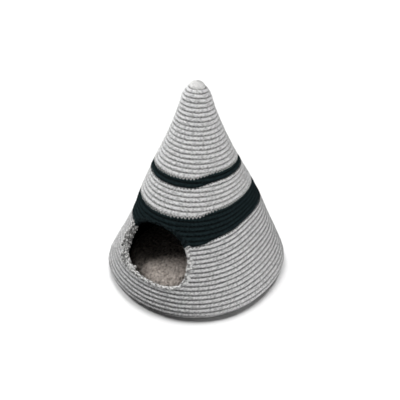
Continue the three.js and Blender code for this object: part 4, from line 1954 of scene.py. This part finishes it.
@dataclass
class FleeceCushion:
    """The loose round cushion, blown up as cloth and covered in short nubs.

    Attributes:
        node: The solid that it stands for.
        slot: The record's material slot.
        voxel: Mesh size before the cloth is blown up.
        shrink: Size before it is blown up, across and in height.
        pressure: Pressure inside.
        frames: Steps of the simulation.
        quality: Steps of the solver in each of them.
        mass: Mass of a point of the cloth.
        stiffness: How much the cloth withstands bending.
        most: How far a point may move.
        finer: How often the mesh is divided for the nubs.
        nub: Size of a fleece nub.
        nub_height: Its height.
        clump: Size of a clump of nubs.
        clump_height: Its height.
        rest_gap: How far it stays above the base.
        fill: How full it is.
    """

    node: str = "cushion"
    slot: str = "fleece"
    voxel: float = 7 * MM
    shrink: tuple[float, float] = (0.975, 0.93)
    pressure: float = 4.0
    frames: int = 20
    quality: int = 6
    mass: float = 0.3
    stiffness: float = 0.8
    most: float = 8 * MM
    finer: int = 2
    nub: float = 7.0 * MM
    nub_height: float = 3.0 * MM
    clump: float = 35 * MM
    clump_height: float = 6.0 * MM
    rest_gap: float = 0.3 * MM
    fill: float = 0.6

    def _start(self) -> bpy.types.Object:
        """Copies the solid, a little smaller and evenly meshed.

        Returns:
            The copy.
        """
        Bench.clear_selection()
        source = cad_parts[self.node]
        piece = bpy.data.objects.new("fleece_cushion", source.data.copy())
        piece.data.name = "fleece_cushion"
        bpy.context.scene.collection.objects.link(piece)
        Bench.mend(piece, join=1e-5)
        points = Bench.coords(piece)
        foot = points[:, 2].min()
        points[:, :2] *= self.shrink[0]
        points[:, 2] = foot + (points[:, 2] - foot) * self.shrink[1]
        Bench.place(piece, points)
        piece.data.remesh_voxel_size = self.voxel
        bpy.ops.object.voxel_remesh()
        return piece

    def _inflate(self, piece: bpy.types.Object) -> None:
        """Blows the cover up as cloth and keeps the result.

        Args:
            piece: The cushion.
        """
        before = Bench.coords(piece)
        bpy.ops.object.modifier_add(type="CLOTH")
        cloth = piece.modifiers[-1]
        cloth.settings.quality = self.quality
        cloth.settings.mass = self.mass
        cloth.settings.use_pressure = True
        cloth.settings.uniform_pressure_force = self.pressure
        cloth.settings.effector_weights.gravity = 0
        cloth.settings.bending_stiffness = self.stiffness
        scene = bpy.context.scene
        for step in range(1, self.frames + 1):
            scene.frame_set(step)
        bpy.ops.object.modifier_apply(modifier=cloth.name)
        scene.frame_set(1)
        move = Bench.coords(piece) - before
        far = np.linalg.norm(move, axis=1, keepdims=True)
        Bench.place(piece, before + move * np.minimum(1, self.most / np.maximum(far, 1e-9)))

    def _nub(self, piece: bpy.types.Object) -> None:
        """Raises the fleece's nubs on a finer mesh.

        Args:
            piece: The cushion.
        """
        Bench.modify(piece, "SUBSURF", levels=self.finer, render_levels=self.finer)
        cells = bpy.data.textures.new("fleece_cells", "VORONOI")
        cells.noise_scale = self.nub
        clumps = bpy.data.textures.new("fleece_clumps", "CLOUDS")
        clumps.noise_scale = self.clump
        for texture, strength in ((cells, -self.nub_height), (clumps, self.clump_height)):
            Bench.modify(piece, "DISPLACE", texture=texture, texture_coords="LOCAL", strength=strength)

    def build(self, finishes: Finishes) -> bpy.types.Object:
        """Models and dresses the cushion.

        Args:
            finishes: The materials.

        Returns:
            The piece.
        """
        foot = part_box(self.node)[0].z
        piece = self._start()
        self._inflate(piece)
        self._nub(piece)
        points = Bench.coords(piece)
        points[:, 2] = np.maximum(points[:, 2], foot + self.rest_gap)
        Bench.place(piece, points)
        Bench.pick(piece)
        bpy.ops.object.shade_smooth()
        Bench.finish(piece, finishes.fleece, self.slot, self.node)
        return piece


# Studio


@dataclass(frozen=True)
class Lamp:
    """A square soft light that is turned towards the object.

    Attributes:
        name: Name of the light.
        place: Where it hangs.
        side: Its side.
        power: Its power in watts.
        aim: The point that it is turned towards.
    """

    name: str
    place: tuple[float, float, float]
    side: float
    power: float
    aim: tuple[float, float, float] = (0, 0, 0.2)

    def build(self, receivers: bpy.types.Collection) -> None:
        """Adds the light.

        Args:
            receivers: Says what it lights.
        """
        Bench.clear_selection()
        bpy.ops.object.light_add(type="AREA", location=self.place)
        lamp = Bench.named(self.name)
        lamp.data.shape = "SQUARE"
        lamp.data.size = self.side
        lamp.data.energy = self.power
        lamp.rotation_euler = (Vector(self.place) - Vector(self.aim)).to_track_quat("Z", "Y").to_euler()
        lamp.light_linking.receiver_collection = receivers


@dataclass(frozen=True)
class FloorLight:
    """A soft sun that lights the floor alone.

    Attributes:
        name: Name of the light.
        azimuth: Degrees round from the entrance that it comes from.
        elevation: Degrees above the floor.
        spread: Degrees across its disc.
        strength: Its strength.
        low_shadow: True where only the foot and the base throw a shadow, which keeps it close to the foot.
    """

    name: str
    azimuth: float
    elevation: float
    spread: float
    strength: float
    low_shadow: bool

    def build(self, floor: bpy.types.Collection, low: bpy.types.Collection) -> None:
        """Adds the light.

        Args:
            floor: Holds the floor, which it lights.
            low: Holds the object's lowest pieces.
        """
        towards = bearing(self.azimuth, self.elevation)
        Bench.clear_selection()
        bpy.ops.object.light_add(type="SUN", location=towards)
        sun = Bench.named(self.name)
        sun.data.energy = self.strength
        sun.data.angle = math.radians(self.spread)
        sun.rotation_euler = towards.to_track_quat("Z", "Y").to_euler()
        sun.light_linking.receiver_collection = floor
        if self.low_shadow:
            sun.light_linking.blocker_collection = low


@dataclass
class Studio:
    """A pale floor, soft light and a camera at the picture's angle.

    Attributes:
        focal_pixels: Focal length in pixels of the picture.
        distance: From the camera to the point that it was fitted about.
        azimuth: Degrees round from the entrance.
        elevation: Degrees above the floor.
        aim_height: Height of the point that it was fitted about.
        aim_pixel: Where that point lies in the picture.
        sensor: Width of the camera's sensor in millimetres.
        floor_side: Side of the floor.
        sky_above: Strength of the sky above the horizon.
        sky_below: Strength below it, which stands for light off the floor.
        horizon: Heights between which the one goes over into the other.
        lamps: The lamps that light the object.
        floor_lights: The lights of the floor.
    """

    focal_pixels: float = 886.6
    distance: float = 2.2915
    azimuth: float = 36.25
    elevation: float = 29.444
    aim_height: float = 0.23215
    aim_pixel: tuple[float, float] = (196.49, 188.49)
    sensor: float = 36.0
    floor_side: float = 40.0
    sky_above: float = 0.03
    sky_below: float = 0.10
    horizon: Span = (-0.1, 0.3)
    lamps: tuple[Lamp, ...] = (
        Lamp("near_top_light", (0.12, -0.16, 1.15), 0.5, 2.2),
        Lamp("left_light", (-0.92, -0.54, 1.22), 1.0, 20.5),
        Lamp("right_light", (1.48, -0.20, 0.62), 0.8, 16.5),
    )
    floor_lights: tuple[FloorLight, ...] = (
        FloorLight("floor_left_light", 262, 24, 26, 4.0, True),
        FloorLight("floor_back_light", 214, 26, 26, 4.0, True),
        FloorLight("floor_top_light", 0, 90, 140, 0.10, False),
    )

    def camera(self) -> None:
        """Adds the camera."""
        back = bearing(self.azimuth, self.elevation)
        aim = Vector((0, 0, self.aim_height))
        Bench.clear_selection()
        bpy.ops.object.camera_add(location=aim + back * self.distance)
        camera = Bench.named("picture_camera")
        camera.rotation_euler = back.to_track_quat("Z", "Y").to_euler()
        camera.data.sensor_width = self.sensor
        camera.data.lens = self.focal_pixels / IMAGE_SIDE * self.sensor
        camera.data.shift_x = (IMAGE_SIDE / 2 - self.aim_pixel[0]) / IMAGE_SIDE
        camera.data.shift_y = (self.aim_pixel[1] - IMAGE_SIDE / 2) / IMAGE_SIDE
        bpy.context.scene.camera = camera

    def floor(self) -> bpy.types.Object:
        """Adds the floor.

        Returns:
            The floor.
        """
        Bench.clear_selection()
        bpy.ops.mesh.primitive_plane_add(size=self.floor_side, location=(0, 0, 0))
        floor = Bench.named("floor")
        floor.data.materials.append(FloorFinish().material())
        floor.visible_diffuse = False
        return floor

    def light(self, floor: bpy.types.Object, *lowest: bpy.types.Object) -> None:
        """Adds the lamps, which leave the floor alone, and the floor's own lights.

        Args:
            floor: The floor.
            lowest: The object's lowest pieces.
        """
        names = ("lit_floor", "unlit_floor", "lowest_pieces")
        lit, unlit, low = (bpy.data.collections.new(name) for name in names)
        lit.objects.link(floor)
        unlit.objects.link(floor)
        unlit.collection_objects[0].light_linking.link_state = "EXCLUDE"
        for piece in lowest:
            low.objects.link(piece)
        for lamp in self.lamps:
            lamp.build(unlit)
        for sun in self.floor_lights:
            sun.build(lit, low)

    def sky(self) -> None:
        """Adds a soft sky, with one strength above the horizon and another below it."""
        scene = bpy.context.scene
        scene.view_settings.view_transform = "Standard"
        world = bpy.data.worlds.new("studio_sky")
        world.use_nodes = True
        tree = world.node_tree
        direction = tree.nodes.new("ShaderNodeTexCoord")
        parts = tree.nodes.new("ShaderNodeSeparateXYZ")
        level = tree.nodes.new("ShaderNodeMapRange")
        level.inputs["From Min"].default_value = self.horizon[0]
        level.inputs["From Max"].default_value = self.horizon[1]
        level.inputs["To Min"].default_value = self.sky_below
        level.inputs["To Max"].default_value = self.sky_above
        tree.links.new(direction.outputs["Generated"], parts.inputs[0])
        tree.links.new(parts.outputs["Z"], level.inputs["Value"])
        tree.links.new(level.outputs[0], tree.nodes["Background"].inputs["Strength"])
        tree.nodes["Background"].inputs["Color"].default_value = (1, 1, 1, 1)
        scene.world = world

    def build(self, *lowest: bpy.types.Object) -> None:
        """Sets up the studio.

        Args:
            lowest: The object's lowest pieces.
        """
        self.camera()
        self.sky()
        self.light(self.floor(), *lowest)


def main() -> None:
    """Builds the finishes, every piece in order and the studio."""
    logging.basicConfig(level=logging.INFO, format="%(name)s: %(message)s")
    wall = WallShape()
    entrance = Entrance(wall)
    finishes = Finishes().make()
    cone = CoiledWall(wall, entrance)
    foot = cone.build(finishes)
    TipButton(wall, cone.start_turn).build(finishes)
    EntranceEdge(entrance).build(finishes)
    base = FlatBase(wall).build(finishes)
    FleeceCushion().build(finishes)
    Studio().build(foot, base)


if __name__ == "__main__":
    main()
